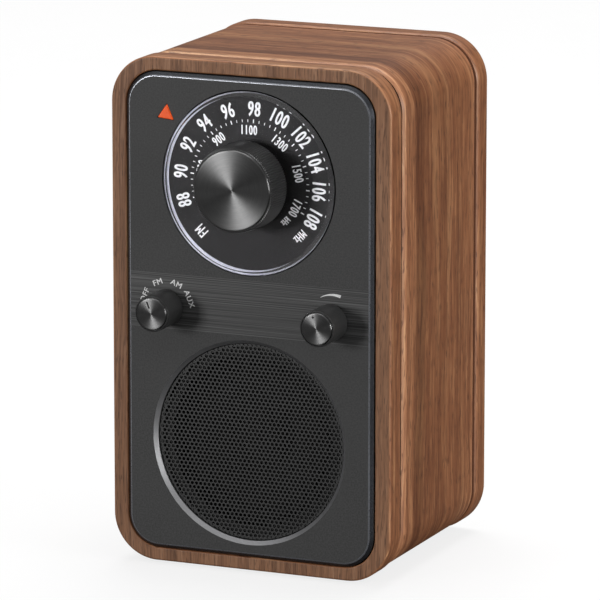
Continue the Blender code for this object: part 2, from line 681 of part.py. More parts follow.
def make_speaker(baffle):
    z = SPEAKER_HEIGHT
    grille_front = PANEL_FRONT + GRILLE_RECESS
    grille_back = BAFFLE_FRONT - CLEARANCE
    edge = GRILLE_OPENING - CLEARANCE
    turned(
        "speaker_grille",
        [(0, grille_front), (edge - GRILLE_ROUND, grille_front),
         (edge, grille_front + GRILLE_ROUND), (edge, grille_back),
         (edge - GRILLE_THICKNESS, grille_back),
         (edge - GRILLE_THICKNESS, grille_front + GRILLE_THICKNESS),
         (0, grille_front + GRILLE_THICKNESS)],
        GRILLE_BLACK, height=z,
    )
    flange_back = MOUNT_FACE + FLANGE_THICKNESS
    basket = plate("speaker_basket", FLANGE_SIZE, FLANGE_SIZE, MOUNT_FACE, flange_back, STEEL,
                   centre=(0, z), corner=FLANGE_CORNER, steps=4)
    # Half a side's turn keeps its corners off those of the bowl.
    cut(basket, rod("basket_mouth", BASKET_MOUTH + BASKET_WALL / 2, MOUNT_FACE - FLANGE_THICKNESS,
                    flange_back + FLANGE_THICKNESS, 0, z, sides=MEDIUM_SIDES,
                    turn=math.pi / MEDIUM_SIDES))
    front = MOUNT_FACE + FLANGE_THICKNESS / 4
    waist = CONE_FRONT + CONE_WALL + 2 * CLEARANCE
    floor_front = BASKET_BACK - BASKET_WALL
    ledge = floor_front - SPIDER_ROOM
    step = BASKET_FLOOR - SPIDER_LEDGE
    hole = plate_bore() + BASKET_WALL
    join(basket, turned(
        "basket_bowl",
        [(BASKET_MOUTH + BASKET_WALL, front), (BASKET_MOUTH + BASKET_WALL, waist),
         (BASKET_FLOOR + BASKET_WALL, ledge), (BASKET_FLOOR + BASKET_WALL, ledge + BASKET_WALL),
         (step + BASKET_WALL, ledge + BASKET_WALL), (step + BASKET_WALL, BASKET_BACK),
         (hole, BASKET_BACK), (hole, floor_front), (step, floor_front), (step, ledge),
         (BASKET_FLOOR, ledge), (BASKET_FLOOR, ledge - BASKET_WALL), (BASKET_MOUTH, waist),
         (BASKET_MOUTH, front)],
        height=z, ring=True, steps=MEDIUM_SIDES,
    ))
    join(basket, plate("terminal_strip", TERMINAL_WIDTH, TERMINAL_HEIGHT,
                       MOUNT_FACE + FLANGE_THICKNESS / 2, flange_back + TERMINAL_LENGTH,
                       centre=(TERMINAL_X, z + TERMINAL_RISE)))
    for i, (x, height) in enumerate(pairs(SPEAKER_SCREW_SPACING, SPEAKER_SCREW_SPACING, z)):
        bite = flange_back - BAFFLE_BACK + SCREW_BITE
        hole = rod(f"speaker_screw_hole_{i + 1}", SCREW_HOLE, flange_back - bite - CLEARANCE,
                   flange_back + THROUGH, x, height, sides=TINY_SIDES)
        cut(basket, hole)
        cut(baffle, hole)
        pan_screw(f"speaker_screw_{i + 1}", flange_back, x, height, bite)
    make_motor(z)
    make_moving_cone(z)


def plate_bore():
    return COIL_RADIUS + COIL_WALL + COIL_GAP


def ring_profile(outer, inner, near, far):
    return [(outer, near), (outer, far), (inner, far), (inner, near)]


def make_motor(z):
    """Front plate, ring magnet, and a yoke whose pole reaches through both."""
    plate_back = PLATE_FRONT + PLATE_THICKNESS
    turned("speaker_front_plate", ring_profile(PLATE_RADIUS, plate_bore(), PLATE_FRONT, plate_back),
           STEEL, height=z, ring=True, steps=MEDIUM_SIDES)
    turned("speaker_magnet", ring_profile(MAGNET_RADIUS, MAGNET_BORE, MAGNET_FRONT,
                                          MAGNET_FRONT + MAGNET_THICKNESS),
           FERRITE, height=z, ring=True, steps=MEDIUM_SIDES)
    pole = COIL_RADIUS - COIL_GAP
    yoke_back = YOKE_FRONT + PLATE_THICKNESS
    turned(
        "speaker_yoke",
        [(0, PLATE_FRONT), (pole, PLATE_FRONT), (pole, YOKE_FRONT), (PLATE_RADIUS, YOKE_FRONT),
         (PLATE_RADIUS, yoke_back), (0, yoke_back)],
        STEEL, height=z, steps=MEDIUM_SIDES,
    )


def make_moving_cone(z):
    """The paper cone with its coil and dust cap, and the two rings that carry it."""
    neck = COIL_RADIUS + COIL_WALL + CLEARANCE
    slope = (CONE_MOUTH - neck) / CONE_LENGTH
    turned(
        "speaker_cone",
        [(CONE_MOUTH, CONE_FRONT), (CONE_MOUTH, CONE_FRONT + CONE_WALL),
         (neck, CONE_BACK + CONE_WALL), (neck, CONE_BACK)],
        PAPER, height=z, ring=True, steps=MEDIUM_SIDES,
    )
    turned("voice_coil", ring_profile(COIL_RADIUS + COIL_WALL, COIL_RADIUS, CONE_BACK,
                                      CONE_BACK + COIL_LENGTH),
           COPPER, height=z, ring=True, steps=SMALL_SIDES)
    # The cap's rim stands on the cone; its dome is an arc given by its radius and rise.
    rim = CONE_FRONT + (CONE_MOUTH - DUST_CAP_RADIUS) / slope - 2 * CLEARANCE
    outer = dome(DUST_CAP_RADIUS, DUST_CAP_RISE, rim)
    inner = dome(DUST_CAP_RADIUS - CONE_WALL, DUST_CAP_RISE - CONE_WALL, rim)
    turned("speaker_dust_cap", outer + inner[::-1], PAPER, height=z, steps=SMALL_SIDES)
    roll_inner = CONE_MOUTH + CLEARANCE
    roll_outer = BASKET_MOUTH - CLEARANCE
    turned("speaker_surround", half_roll(roll_inner, roll_outer, CONE_FRONT, CONE_WALL), RUBBER,
           height=z, ring=True, steps=MEDIUM_SIDES)
    spider_back = BASKET_BACK - BASKET_WALL - SPIDER_ROOM - CLEARANCE
    turned("speaker_spider", ring_profile(BASKET_FLOOR - CLEARANCE, neck,
                                          spider_back - SPIDER_THICKNESS, spider_back),
           CLOTH, height=z, ring=True, steps=MEDIUM_SIDES)


def dome(radius, rise, rim):
    """The section of a shallow dome, from its top on the axis out to its rim."""
    ball = (radius**2 + rise**2) / (2 * rise)
    spread = [radius * i / DOME_STEPS for i in range(DOME_STEPS + 1)]
    return [(r, rim - rise + ball - math.sqrt(ball**2 - r**2)) for r in spread]


def half_roll(inner, outer, depth, wall):
    """The section of a half-round roll between two radii, bulging to the front."""
    middle, reach = (inner + outer) / 2, (outer - inner) / 2
    angles = [math.pi * i / ROLL_STEPS for i in range(ROLL_STEPS + 1)]
    front = [(middle - reach * math.cos(a), depth - reach * math.sin(a) + wall) for a in angles]
    inside = reach - wall
    back = [(middle - inside * math.cos(a), depth - inside * math.sin(a) + wall) for a in angles]
    return front + back[::-1]


def make_board():
    middle = (BOARD_TOP + BOARD_BOTTOM) / 2
    board = plate("main_board", BOARD_WIDTH, BOARD_HEIGHT, BOARD_FRONT, BOARD_BACK, CIRCUIT,
                  centre=(0, middle))
    sunk = BOARD_BACK - BOARD_THICKNESS / 2
    # Soldered parts as (name, width, height, thickness, x, height above the board's foot).
    soldered = (
        ("tuner_screen", 22 * MM, 16 * MM, 4 * MM, -14 * MM, 46 * MM),
        ("amplifier_chip", 9 * MM, 9 * MM, 2 * MM, 14 * MM, 40 * MM),
        ("wireless_module", 14 * MM, 11 * MM, 2.4 * MM, -12 * MM, 23 * MM),
        ("speaker_connector", 8 * MM, CONNECTOR_HEIGHT, 5 * MM, TERMINAL_X, CONNECTOR_RISE),
        ("socket_connector", 5 * MM, 10 * MM, 5 * MM, 28 * MM, 15 * MM),
    )
    for name, width, height, thickness, x, rise in soldered:
        join(board, plate(name, width, height, sunk, BOARD_BACK + thickness,
                          centre=(x, BOARD_BOTTOM + rise)))
    for i, x in enumerate((8 * MM, 19 * MM)):
        join(board, rod(f"filter_capacitor_{i + 1}", 4 * MM, sunk, BOARD_BACK + 10 * MM, x,
                        BOARD_BOTTOM + 20 * MM, sides=TINY_SIDES))
    for i, side in enumerate((-1, 1)):
        x = side * (BOARD_WIDTH / 2 - BOSS_INSET)
        cut(board, rod(f"board_hole_{i + 1}", SCREW_HOLE, BOARD_FRONT - BOARD_THICKNESS,
                       BOARD_BACK + BOARD_THICKNESS, x, BOSS_HEIGHT, sides=TINY_SIDES))
        pan_screw(f"board_screw_{i + 1}", BOARD_BACK, x, BOSS_HEIGHT,
              BOARD_THICKNESS + 1.6 * SCREW_BITE)


def make_aerials():
    base = BOARD_BACK + CLEARANCE
    axis = BOARD_BACK + ROD_STANDOFF
    bracket = plate("rod_bracket", BRACKET_SPREAD + BRACKET_WIDTH, BRACKET_WIDTH * 2, base,
                    base + BRACKET_BASE, BLACK_PLASTIC, centre=(0, ROD_HEIGHT))
    ring_radius = ROD_RADIUS + CLEARANCE + BRACKET_RING
    for i, side in enumerate((-1, 1)):
        x = side * BRACKET_SPREAD / 2
        join(bracket, plate(f"bracket_arm_{i + 1}", BRACKET_WIDTH, BRACKET_WIDTH,
                            base + BRACKET_BASE / 2, axis - ROD_RADIUS - BRACKET_RING / 2,
                            centre=(x, ROD_HEIGHT)))
        join(bracket, across(f"bracket_ring_{i + 1}", ring_radius, x, BRACKET_WIDTH, axis))
    cut(bracket, across("rod_bore", ROD_RADIUS + CLEARANCE, 0, ROD_LENGTH, axis))
    across("ferrite_rod", ROD_RADIUS, 0, ROD_LENGTH, axis, FERRITE)
    coil = across("rod_coil", ROD_RADIUS + CLEARANCE + ROD_COIL_WALL, 0, ROD_COIL_LENGTH, axis,
                  COPPER)
    cut(coil, across("coil_bore", ROD_RADIUS + CLEARANCE, 0, ROD_LENGTH, axis))
    wall = -(INNER_WIDTH / 2 - CLEARANCE)
    radius = 0.7 * MM
    start = BOARD_BACK + CLEARANCE + radius
    cable(
        "fm_aerial_wire",
        [
            at(-28 * MM, 132 * MM, start),
            at(-32 * MM, 132 * MM, start + 0.8 * MM),
            at(wall + 3.25 * MM, 131 * MM, start + 6 * MM),
            at(wall + radius, 128 * MM, start + 15 * MM),
            at(wall + radius, 122 * MM, start + 27 * MM),
            at(wall + radius, 112 * MM, start + 36 * MM),
            at(wall + radius, 96 * MM, start + 41 * MM),
            at(wall + radius, 76 * MM, start + 42 * MM),
            at(wall + radius, 56 * MM, start + 42 * MM),
        ],
        radius,
    )


def across(name, radius, x, length, depth, finish=None):
    """A round bar along X behind the board, at the ferrite rod's height."""
    bar = rod(name, radius, -length / 2, length / 2, 0, 0, finish, sides=SMALL_SIDES)
    bar.location = at(x, ROD_HEIGHT, depth)
    bar.rotation_euler = (0, math.pi / 2, 0)
    return bar


def make_rear(rear_frame):
    width, height = cover_recess()
    cover = plate("rear_cover", width - 2 * CLEARANCE, height - 2 * CLEARANCE, COVER_FRONT,
                  COVER_BACK, BLACK_PLASTIC, corner=REAR_CORNER - CLEARANCE,
                  far_edge=(0.5 * MM, 1))
    post_x = JACK_BOARD_WIDTH / 2 - POST_RADIUS
    for i, side in enumerate((-1, 1)):
        join(cover, rod(f"cover_post_{i + 1}", POST_RADIUS, JACK_BOARD_BACK + CLEARANCE,
                        COVER_FRONT + REAR_COVER_THICKNESS / 2, side * post_x, SOCKET_HEIGHT,
                        sides=TINY_SIDES))
    screw_x = width / 2 - REAR_LEDGE / 2
    for i, (x, z) in enumerate(pairs(2 * screw_x, REAR_SCREW_SPREAD, MIDDLE)):
        seat = COVER_BACK - SCREW_HEAD_THICKNESS - CLEARANCE
        bite = SCREW_BITE * 1.8
        cut(cover, rod(f"cover_counterbore_{i + 1}", SCREW_HEAD_RADIUS + CLEARANCE, seat,
                       COVER_BACK + THROUGH, x, z, sides=TINY_SIDES))
        hole = rod(f"cover_screw_hole_{i + 1}", SCREW_HOLE, seat - bite - CLEARANCE,
                   COVER_BACK + THROUGH, x, z, sides=TINY_SIDES)
        cut(cover, hole)
        cut(rear_frame, hole)
        pan_screw(f"rear_cover_screw_{i + 1}", seat, x, z, bite)
    plate("jack_board", JACK_BOARD_WIDTH, JACK_BOARD_HEIGHT, JACK_BOARD_FRONT, JACK_BOARD_BACK,
          CIRCUIT, centre=(0, SOCKET_HEIGHT))
    for side, name, bore, pin in ((-1, "dc_socket", DC_BORE, DC_PIN),
                                  (1, "aux_socket", AUX_BORE, 0.0)):
        make_socket(cover, name, side * SOCKET_SPREAD / 2, bore, pin)
    start = JACK_BOARD_FRONT - CLEARANCE
    radius = 1.1 * MM
    cable(
        "socket_cable",
        [
            at(21 * MM, SOCKET_HEIGHT + 4 * MM, start - radius),
            at(26 * MM, SOCKET_HEIGHT + 5 * MM, start - 2.5 * MM),
            at(33 * MM, SOCKET_HEIGHT + 12 * MM, start - 9 * MM),
            at(37 * MM, SOCKET_HEIGHT + 24 * MM, start - 20 * MM),
            at(38 * MM, SOCKET_HEIGHT + 40 * MM, start - 31 * MM),
            at(37 * MM, 79 * MM, BOARD_BACK + 7 * MM),
            at(34 * MM, 87 * MM, BOARD_BACK + 3.5 * MM),
            at(30.5 * MM + CLEARANCE + radius, 92 * MM, BOARD_BACK + 2.5 * MM),
        ],
        radius,
    )


def make_socket(cover, name, x, bore, pin):
    """A socket on the jack board whose nose shows in the rear cover."""
    nose = plate(name, SOCKET_BODY, SOCKET_BODY, JACK_BOARD_BACK + CLEARANCE,
                 COVER_FRONT - CLEARANCE, BLACK_PLASTIC, centre=(x, SOCKET_HEIGHT))
    join(nose, rod(f"{name}_nose", SOCKET_NOSE, COVER_FRONT - SOCKET_LENGTH / 2,
                   COVER_BACK - CLEARANCE, x, SOCKET_HEIGHT))
    bottom = COVER_BACK - SOCKET_BORE_DEPTH
    mouth = COVER_BACK + 2 * CLEARANCE
    if pin:
        cut(nose, turned(f"{name}_bore", ring_profile(bore, pin, bottom, mouth), x=x,
                         height=SOCKET_HEIGHT, ring=True, steps=TINY_SIDES))
    else:
        cut(nose, rod(f"{name}_bore", bore, bottom, mouth, x, SOCKET_HEIGHT, sides=TINY_SIDES))
    cut(cover, rod(f"{name}_window", SOCKET_NOSE + CLEARANCE, COVER_FRONT - THROUGH,
                   COVER_BACK + THROUGH, x, SOCKET_HEIGHT))


def make_speaker_cable():
    """From the basket's terminal strip up to the connector at the foot of the board."""
    radius = 0.9 * MM
    start = MOUNT_FACE + FLANGE_THICKNESS + TERMINAL_LENGTH + CLEARANCE
    connector = BOARD_BOTTOM + CONNECTOR_RISE - CONNECTOR_HEIGHT / 2
    behind = BOARD_BACK + 3 * MM
    cable(
        "speaker_cable",
        [
            at(TERMINAL_X, SPEAKER_HEIGHT + TERMINAL_RISE, start),
            at(TERMINAL_X, SPEAKER_HEIGHT + TERMINAL_RISE + 0.3 * MM, start + 2.5 * MM),
            at(TERMINAL_X, BOARD_BOTTOM - 1.5 * MM, behind - 0.6 * MM),
            at(TERMINAL_X, connector - CLEARANCE, behind),
        ],
        radius,
    )


front_frame, rear_frame = make_cabinet()
baffle = make_front(front_frame)
make_tuning()
make_small_controls()
make_speaker(baffle)
make_board()
make_aerials()
make_rear(rear_frame)
make_speaker_cable()
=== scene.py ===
"""Tabletop radio: the visible pieces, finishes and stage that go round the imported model.

Metres, +Z up, and the radio's front faces -Y. The script is laid out as an add-on with one
operator for each piece or group of like pieces, and runs them in order when started as a script.
"""

import math

import bmesh
import bpy
from bpy.props import FloatProperty, FloatVectorProperty, IntProperty, PointerProperty
from mathutils import Matrix, Vector


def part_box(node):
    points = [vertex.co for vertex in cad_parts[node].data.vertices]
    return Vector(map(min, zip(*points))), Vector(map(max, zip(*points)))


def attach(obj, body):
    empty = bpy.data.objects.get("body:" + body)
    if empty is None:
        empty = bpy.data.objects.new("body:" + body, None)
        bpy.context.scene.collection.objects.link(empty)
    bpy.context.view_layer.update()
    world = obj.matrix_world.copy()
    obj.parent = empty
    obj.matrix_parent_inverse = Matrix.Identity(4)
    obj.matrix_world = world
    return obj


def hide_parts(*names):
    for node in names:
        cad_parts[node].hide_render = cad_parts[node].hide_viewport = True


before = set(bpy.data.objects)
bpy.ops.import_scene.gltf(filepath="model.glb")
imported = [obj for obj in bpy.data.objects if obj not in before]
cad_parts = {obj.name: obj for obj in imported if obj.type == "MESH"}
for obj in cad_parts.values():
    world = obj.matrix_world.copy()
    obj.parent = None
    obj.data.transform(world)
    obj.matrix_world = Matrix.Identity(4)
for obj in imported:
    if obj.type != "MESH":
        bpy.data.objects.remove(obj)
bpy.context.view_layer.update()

bl_info = {
    "name": "Tabletop Radio",
    "version": (1, 0, 0),
    "blender": (4, 5, 0),
    "location": "3D View > Sidebar > Radio",
    "description": "Builds the visible pieces, finishes and stage of a tabletop radio",
    "category": "Object",
}

MM = 0.001
FULL_TURN = 2 * math.pi
TO_FRONT = Vector((0.0, -1.0, 0.0))  # turning about it is counter-clockwise from the front
SMOOTH_ANGLE = math.radians(32)
PRINT_THICKNESS = 0.04 * MM
ROUND_SIDES = 128
SMALL_SIDES = 64
PRINT_RISE = 0.4 * PRINT_THICKNESS  # of a print's middle, out of its surface
DISC_SIDES = 160  # of the dial and of the grille's opening
BEYOND = 3.0 * MM  # how far a cutter reaches past what it cuts
TOUCH = 0.01 * MM  # points this near a plane lie on it
CAP_GAP = 0.3 * MM  # round and behind a knob's cap
KNOB_ROOF = 3.0 * MM  # between a knob's pocket and its bore
COVER_CORNER = 8.2 * MM  # of the rear cover
SCREW_HOLE = 1.4 * MM


# ---------------------------------------------------------------- modelling by hand, in code


def deselect_all():
    if bpy.context.object and bpy.context.object.mode != "OBJECT":
        bpy.ops.object.mode_set(mode="OBJECT")
    bpy.ops.object.select_all(action="DESELECT")


def activate(obj):
    deselect_all()
    obj.select_set(True)
    bpy.context.view_layer.objects.active = obj


def settle(name):
    """Names the new object and puts its place into its mesh."""
    obj = bpy.context.object
    obj.name = name
    obj.data.name = name
    bpy.ops.object.transform_apply(location=True, rotation=True, scale=True)
    return obj


def begin_edit(obj, kind):
    activate(obj)
    bpy.ops.object.mode_set(mode="EDIT")
    bpy.ops.mesh.select_mode(type=kind)


def end_edit():
    bpy.ops.object.mode_set(mode="OBJECT")


def pick_faces(obj, test):
    """In edit mode, selects the faces whose middle and normal pass the test."""
    bpy.ops.mesh.select_all(action="DESELECT")
    mesh = bmesh.from_edit_mesh(obj.data)
    for face in mesh.faces:
        if test(face.calc_center_median(), face.normal):
            face.select_set(True)
    bmesh.update_edit_mesh(obj.data)


def pick_edges(obj, test):
    """In edit mode, selects the edges whose middle and direction pass the test."""
    bpy.ops.mesh.select_all(action="DESELECT")
    mesh = bmesh.from_edit_mesh(obj.data)
    for edge in mesh.edges:
        start, end = (vertex.co for vertex in edge.verts)
        if test((start + end) / 2, (end - start).normalized()):
            edge.select_set(True)
    bmesh.update_edit_mesh(obj.data)


def bevel_edges(obj, test, width, segments):
    begin_edit(obj, "EDGE")
    pick_edges(obj, test)
    bpy.ops.mesh.bevel(
        offset=width, offset_type="OFFSET", segments=segments, affect="EDGES", clamp_overlap=False
    )
    end_edit()


def block(name, low, high):
    """A box between two corners."""
    deselect_all()
    bpy.ops.mesh.primitive_cube_add(size=1.0, location=(low + high) / 2, scale=high - low)
    return settle(name)


def rounded_slab(name, low, high, corner, segments=14, near=None, far=None):
    """A slab that faces -Y, with round corners. near and far are (width, segments) of the bevels
    round its front and its back."""
    slab = block(name, low, high)
    bevel_edges(slab, lambda middle, along: abs(along.y) > 0.9, corner, segments)
    for edge, y in ((near, low.y), (far, high.y)):
        if edge:
            bevel_edges(
                slab,
                lambda middle, along: abs(middle.y - y) < 0.001 * MM and abs(along.y) < 0.1,
                *edge,
            )
    return slab


def placed(node):
    """A node's lowest and highest corners, its middle and half its width."""
    low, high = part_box(node)
    return low, high, (low + high) / 2, (high.x - low.x) / 2


def rod(name, radius, near, far, x, z, sides=ROUND_SIDES):
    """A round bar along Y from near to far."""
    deselect_all()
    bpy.ops.mesh.primitive_cylinder_add(
        vertices=sides, radius=radius, depth=far - near, location=(x, (near + far) / 2, z),
        rotation=(math.pi / 2, 0, 0),
    )
    return settle(name)


def turned(name, profile, x, z, sides=ROUND_SIDES, closed=False):
    """Spins a profile of (radius, y) points about the Y axis through x and z."""
    deselect_all()
    radius, depth = profile[0]
    bpy.ops.mesh.primitive_plane_add(size=1 * MM, location=(x + radius, depth, z))
    obj = settle(name)
    begin_edit(obj, "VERT")
    bpy.ops.mesh.select_all(action="SELECT")
    bpy.ops.mesh.merge(type="CENTER")
    path = profile + profile[:1] if closed else profile
    for (radius, depth), (next_radius, next_depth) in zip(path, path[1:]):
        step = (next_radius - radius, next_depth - depth, 0)
        bpy.ops.mesh.extrude_vertices_move(TRANSFORM_OT_translate={"value": step})
    bpy.ops.mesh.select_all(action="SELECT")
    bpy.ops.mesh.spin(steps=sides, angle=FULL_TURN, center=(x, 0, z), axis=(0, 1, 0))
    bpy.ops.mesh.select_all(action="SELECT")
    bpy.ops.mesh.remove_doubles(threshold=0.002 * MM)
    bpy.ops.mesh.normals_make_consistent(inside=False)
    end_edit()
    return obj


def boolean(obj, other, operation):
    activate(obj)
    bpy.ops.object.modifier_add(type="BOOLEAN")
    modifier = obj.modifiers[-1]
    modifier.operation = operation
    modifier.solver = "EXACT"
    modifier.object = other
    bpy.ops.object.modifier_apply(modifier=modifier.name)
    bpy.data.objects.remove(other)


def cut(obj, *cutters):
    for cutter in cutters:
        boolean(obj, cutter, "DIFFERENCE")


def merge(obj, *others):
    for other in others:
        boolean(obj, other, "UNION")


def join(name, pieces):
    deselect_all()
    for piece in pieces:
        piece.select_set(True)
    bpy.context.view_layer.objects.active = pieces[0]
    if len(pieces) > 1:
        bpy.ops.object.join()
    return settle(name)


def copy_of(obj, name):
    made = obj.copy()
    made.data = obj.data.copy()
    made.name = name
    made.data.name = name
    bpy.context.scene.collection.objects.link(made)
    return made


def smooth(obj, angle=SMOOTH_ANGLE):
    """Smooth shading up to an angle, with large faces kept flat."""
    activate(obj)
    bpy.ops.object.shade_smooth_by_angle(angle=angle)
    bpy.ops.object.modifier_add(type="WEIGHTED_NORMAL")
    weighted = obj.modifiers[-1]
    weighted.keep_sharp = True
    bpy.ops.object.modifier_apply(modifier=weighted.name)


def finish_piece(obj, body, slot, finishes, *nodes):
    """Gives a finished piece its finishes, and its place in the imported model."""
    obj.data.materials.clear()
    for name in finishes:
        obj.data.materials.append(finish(name))
    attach(obj, body)
    if nodes:
        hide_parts(*nodes)


def dial_place(x, depth, z, angle, radius):
    """Where something stands that faces the front, its top away from the centre at x and z."""
    return (
        Matrix.Translation((x, depth, z))
        @ Matrix.Rotation(angle - math.pi / 2, 4, TO_FRONT)
        @ Matrix.Translation((0, 0, radius))
        @ Matrix.Rotation(math.pi / 2, 4, "X")
    )


def put(obj, place):
    """Moves a piece made round the origin to its place."""
    activate(obj)
    obj.matrix_world = place
    bpy.ops.object.transform_apply(location=True, rotation=True, scale=True)
    return obj


STRETCH = 2.4  # letters are thickened while they are this much taller, so mostly sideways


def lettering(name, words, height, squeeze, weight, spacing=1.06):
    """Bold condensed letters round the origin, flat in XY, as a thin closed mesh."""
    deselect_all()
    bpy.ops.object.text_add()
    letters = bpy.context.object
    letters.name = name
    letters.data.body = words
    letters.data.space_character = spacing
    bpy.ops.object.convert(target="CURVE")
    letters = bpy.context.object
    size = height / max(letters.dimensions.y, 1e-6)
    letters.scale = (size * squeeze, size * STRETCH, 1)
    bpy.ops.object.transform_apply(location=False, rotation=False, scale=True)
    letters.data.bevel_depth = weight
    letters.data.bevel_resolution = 0
    letters.data.extrude = weight
    letters.data.resolution_u = 5
    bpy.ops.object.convert(target="MESH")
    letters = bpy.context.object
    letters.scale = (1, 1 / STRETCH, PRINT_THICKNESS / letters.dimensions.z)
    bpy.ops.object.transform_apply(location=True, rotation=True, scale=True)
    bpy.ops.object.origin_set(type="ORIGIN_GEOMETRY", center="BOUNDS")
    letters.location = (0, 0, 0)
    begin_edit(letters, "VERT")
    bpy.ops.mesh.select_all(action="SELECT")
    bpy.ops.mesh.remove_doubles(threshold=0.002 * MM)
    bpy.ops.mesh.normals_make_consistent(inside=False)
    end_edit()
    return letters


# ---------------------------------------------------------------- shader nodes


def add_node(tree, kind, inputs=None, **settings):
    """Adds a shader node, sets its properties and fills its inputs with values or links."""
    made = tree.nodes.new("ShaderNode" + kind)
    for name, value in settings.items():
        setattr(made, name, value)
    for key, value in (inputs or {}).items():
        if isinstance(value, bpy.types.NodeSocket):
            tree.links.new(value, made.inputs[key])
        else:
            made.inputs[key].default_value = value
    return made


def calculate(tree, operation, *values):
    made = add_node(tree, "Math", dict(enumerate(values)), operation=operation, use_clamp=True)
    return made.outputs[0]


def mixed(tree, factor, first, second, mode="MIX"):
    """A colour between two, where each is a colour or a link."""
    made = add_node(tree, "Mix", data_type="RGBA", blend_type=mode)
    for socket, value in zip((0, 6, 7), (factor, first, second)):
        if isinstance(value, bpy.types.NodeSocket):
            tree.links.new(value, made.inputs[socket])
        elif socket:
            made.inputs[socket].default_value = (*value, 1.0)
        else:
            made.inputs[socket].default_value = value
    return made.outputs[2]


def ramp(tree, factor, stops):
    """A colour ramp. stops are (position, colour), where a single number is a grey."""
    made = add_node(tree, "ValToRGB", {"Fac": factor})
    elements = made.color_ramp.elements
    for position, _ in stops[1:-1]:
        elements.new(position)
    elements[0].position = stops[0][0]
    elements[-1].position = stops[-1][0]
    for element, (_, colour) in zip(elements, stops):
        rgb = colour if isinstance(colour, tuple) else (colour,) * 3
        element.color = (*rgb, 1.0)
    return made.outputs[0]


def stretched(tree, vector, scale, location=(0, 0, 0)):
    return add_node(
        tree, "Mapping", {"Vector": vector, "Scale": scale, "Location": location}
    ).outputs[0]


def noise(tree, vector, scale=1.0, detail=2.0, rough=0.5, distortion=0.0):
    made = add_node(
        tree, "TexNoise",
        {"Vector": vector, "Scale": scale, "Detail": detail, "Roughness": rough,
         "Distortion": distortion},
    )
    return made.outputs[0]


def bump(tree, height, strength, distance):
    inputs = {"Height": height, "Strength": strength, "Distance": distance}
    return add_node(tree, "Bump", inputs).outputs[0]


def shade(colour, factor):
    """A colour made darker or lighter."""
    return tuple(min(1.0, part * factor) for part in colour)


def new_material(name, **surface):
    """A material, its node tree, its Principled node and its Object coordinates."""
    material = bpy.data.materials.new(name)
    material.use_nodes = True
    tree = material.node_tree
    shader = tree.nodes["Principled BSDF"]
    for key, value in surface.items():
        shader.inputs[key.replace("_", " ")].default_value = value
    place = add_node(tree, "TexCoord").outputs["Object"]
    return material, tree, shader, place


def wire(tree, shader, **links):
    """Links node outputs to the Principled node's inputs."""
    for name, value in links.items():
        tree.links.new(value, shader.inputs[name.replace("_", " ")])


# ---------------------------------------------------------------- finishes


def moulded(name, colour, rough, grain=5200.0, relief=0.02, metallic=0.0, variation=0.12, **more):
    """Moulded, painted or cast surface with a fine grain and a slight change of tone."""
    material, tree, shader, place = new_material(name, Metallic=metallic, **more)
    fine = noise(tree, place, grain, 3.0, 0.6)
    broad = noise(tree, place, 70.0, 3.0, 0.55)
    darker = shade(colour, 1 - variation)
    tone = ramp(tree, broad, [(0.3, darker), (0.7, shade(colour, 1 + variation))])
    wire(
        tree, shader,
        Base_Color=mixed(tree, ramp(tree, fine, [(0.35, 0.0), (0.65, 0.35)]), tone, darker),
        Roughness=ramp(tree, fine, [(0.3, rough - 0.06), (0.7, rough + 0.06)]),
        Normal=bump(tree, fine, 0.5, relief * MM),
    )
    return material


TONE_TOP = 2.6
TONE_POWERS = (1.0, 1.25, 1.5)  # pale tones are less red and dark ones redder

# Tones of the veneer across the cabinet's depth, as (Y in millimetres, tone). The figure wanders
# with the grain.
FIGURE_TONES = (
    (-34.0, 1.1), (-27.0, 0.98), (-21.0, 1.3), (-14.0, 1.28), (-11.5, 0.64), (-7.0, 0.56),
    (-3.5, 0.9), (5.0, 0.94), (12.0, 0.86), (18.0, 1.08), (24.0, 0.98), (29.0, 1.05),
    (32.5, 1.2), (35.0, 1.05),
    (42.0, 1.12), (48.0, 0.95),
)
# Painted light across the depth, as (Y in millimetres, tone): painted highlights on the rounded edges
# beside the grooves, and painted shade in the grooves.
PAINTED_EDGE_LIGHT = (
    (-34.0, 1.6), (-33.5, 1.6), (-33.1, 1.0), (-26.4, 1.0), (-25.9, 1.3), (-25.3, 0.7),
    (-21.6, 1.7), (-20.3, 1.55), (-19.2, 1.0), (36.2, 1.0),
    (37.0, 1.5), (37.9, 1.1), (40.0, 1.2), (40.4, 1.6), (41.6, 1.3), (42.4, 1.0),
    (47.4, 1.0), (48.2, 1.3),
)


def depth_tones(tree, depth, tones):
    """Looks up the tone of a depth in metres."""
    first, last = tones[0][0], tones[-1][0]
    share = add_node(tree, "MapRange", {0: depth, 1: first * MM, 2: last * MM}).outputs[0]
    return ramp(tree, share, [
        ((at - first) / (last - first), tuple(tone ** power / TONE_TOP for power in TONE_POWERS))
        for at, tone in tones
    ])


def calculate_scaled(tree, value, scale):
    """A noise value made into an offset round zero."""
    centred = add_node(tree, "Math", {0: value, 1: 0.5}, operation="SUBTRACT").outputs[0]
    return add_node(tree, "Math", {0: centred, 1: scale}, operation="MULTIPLY").outputs[0]


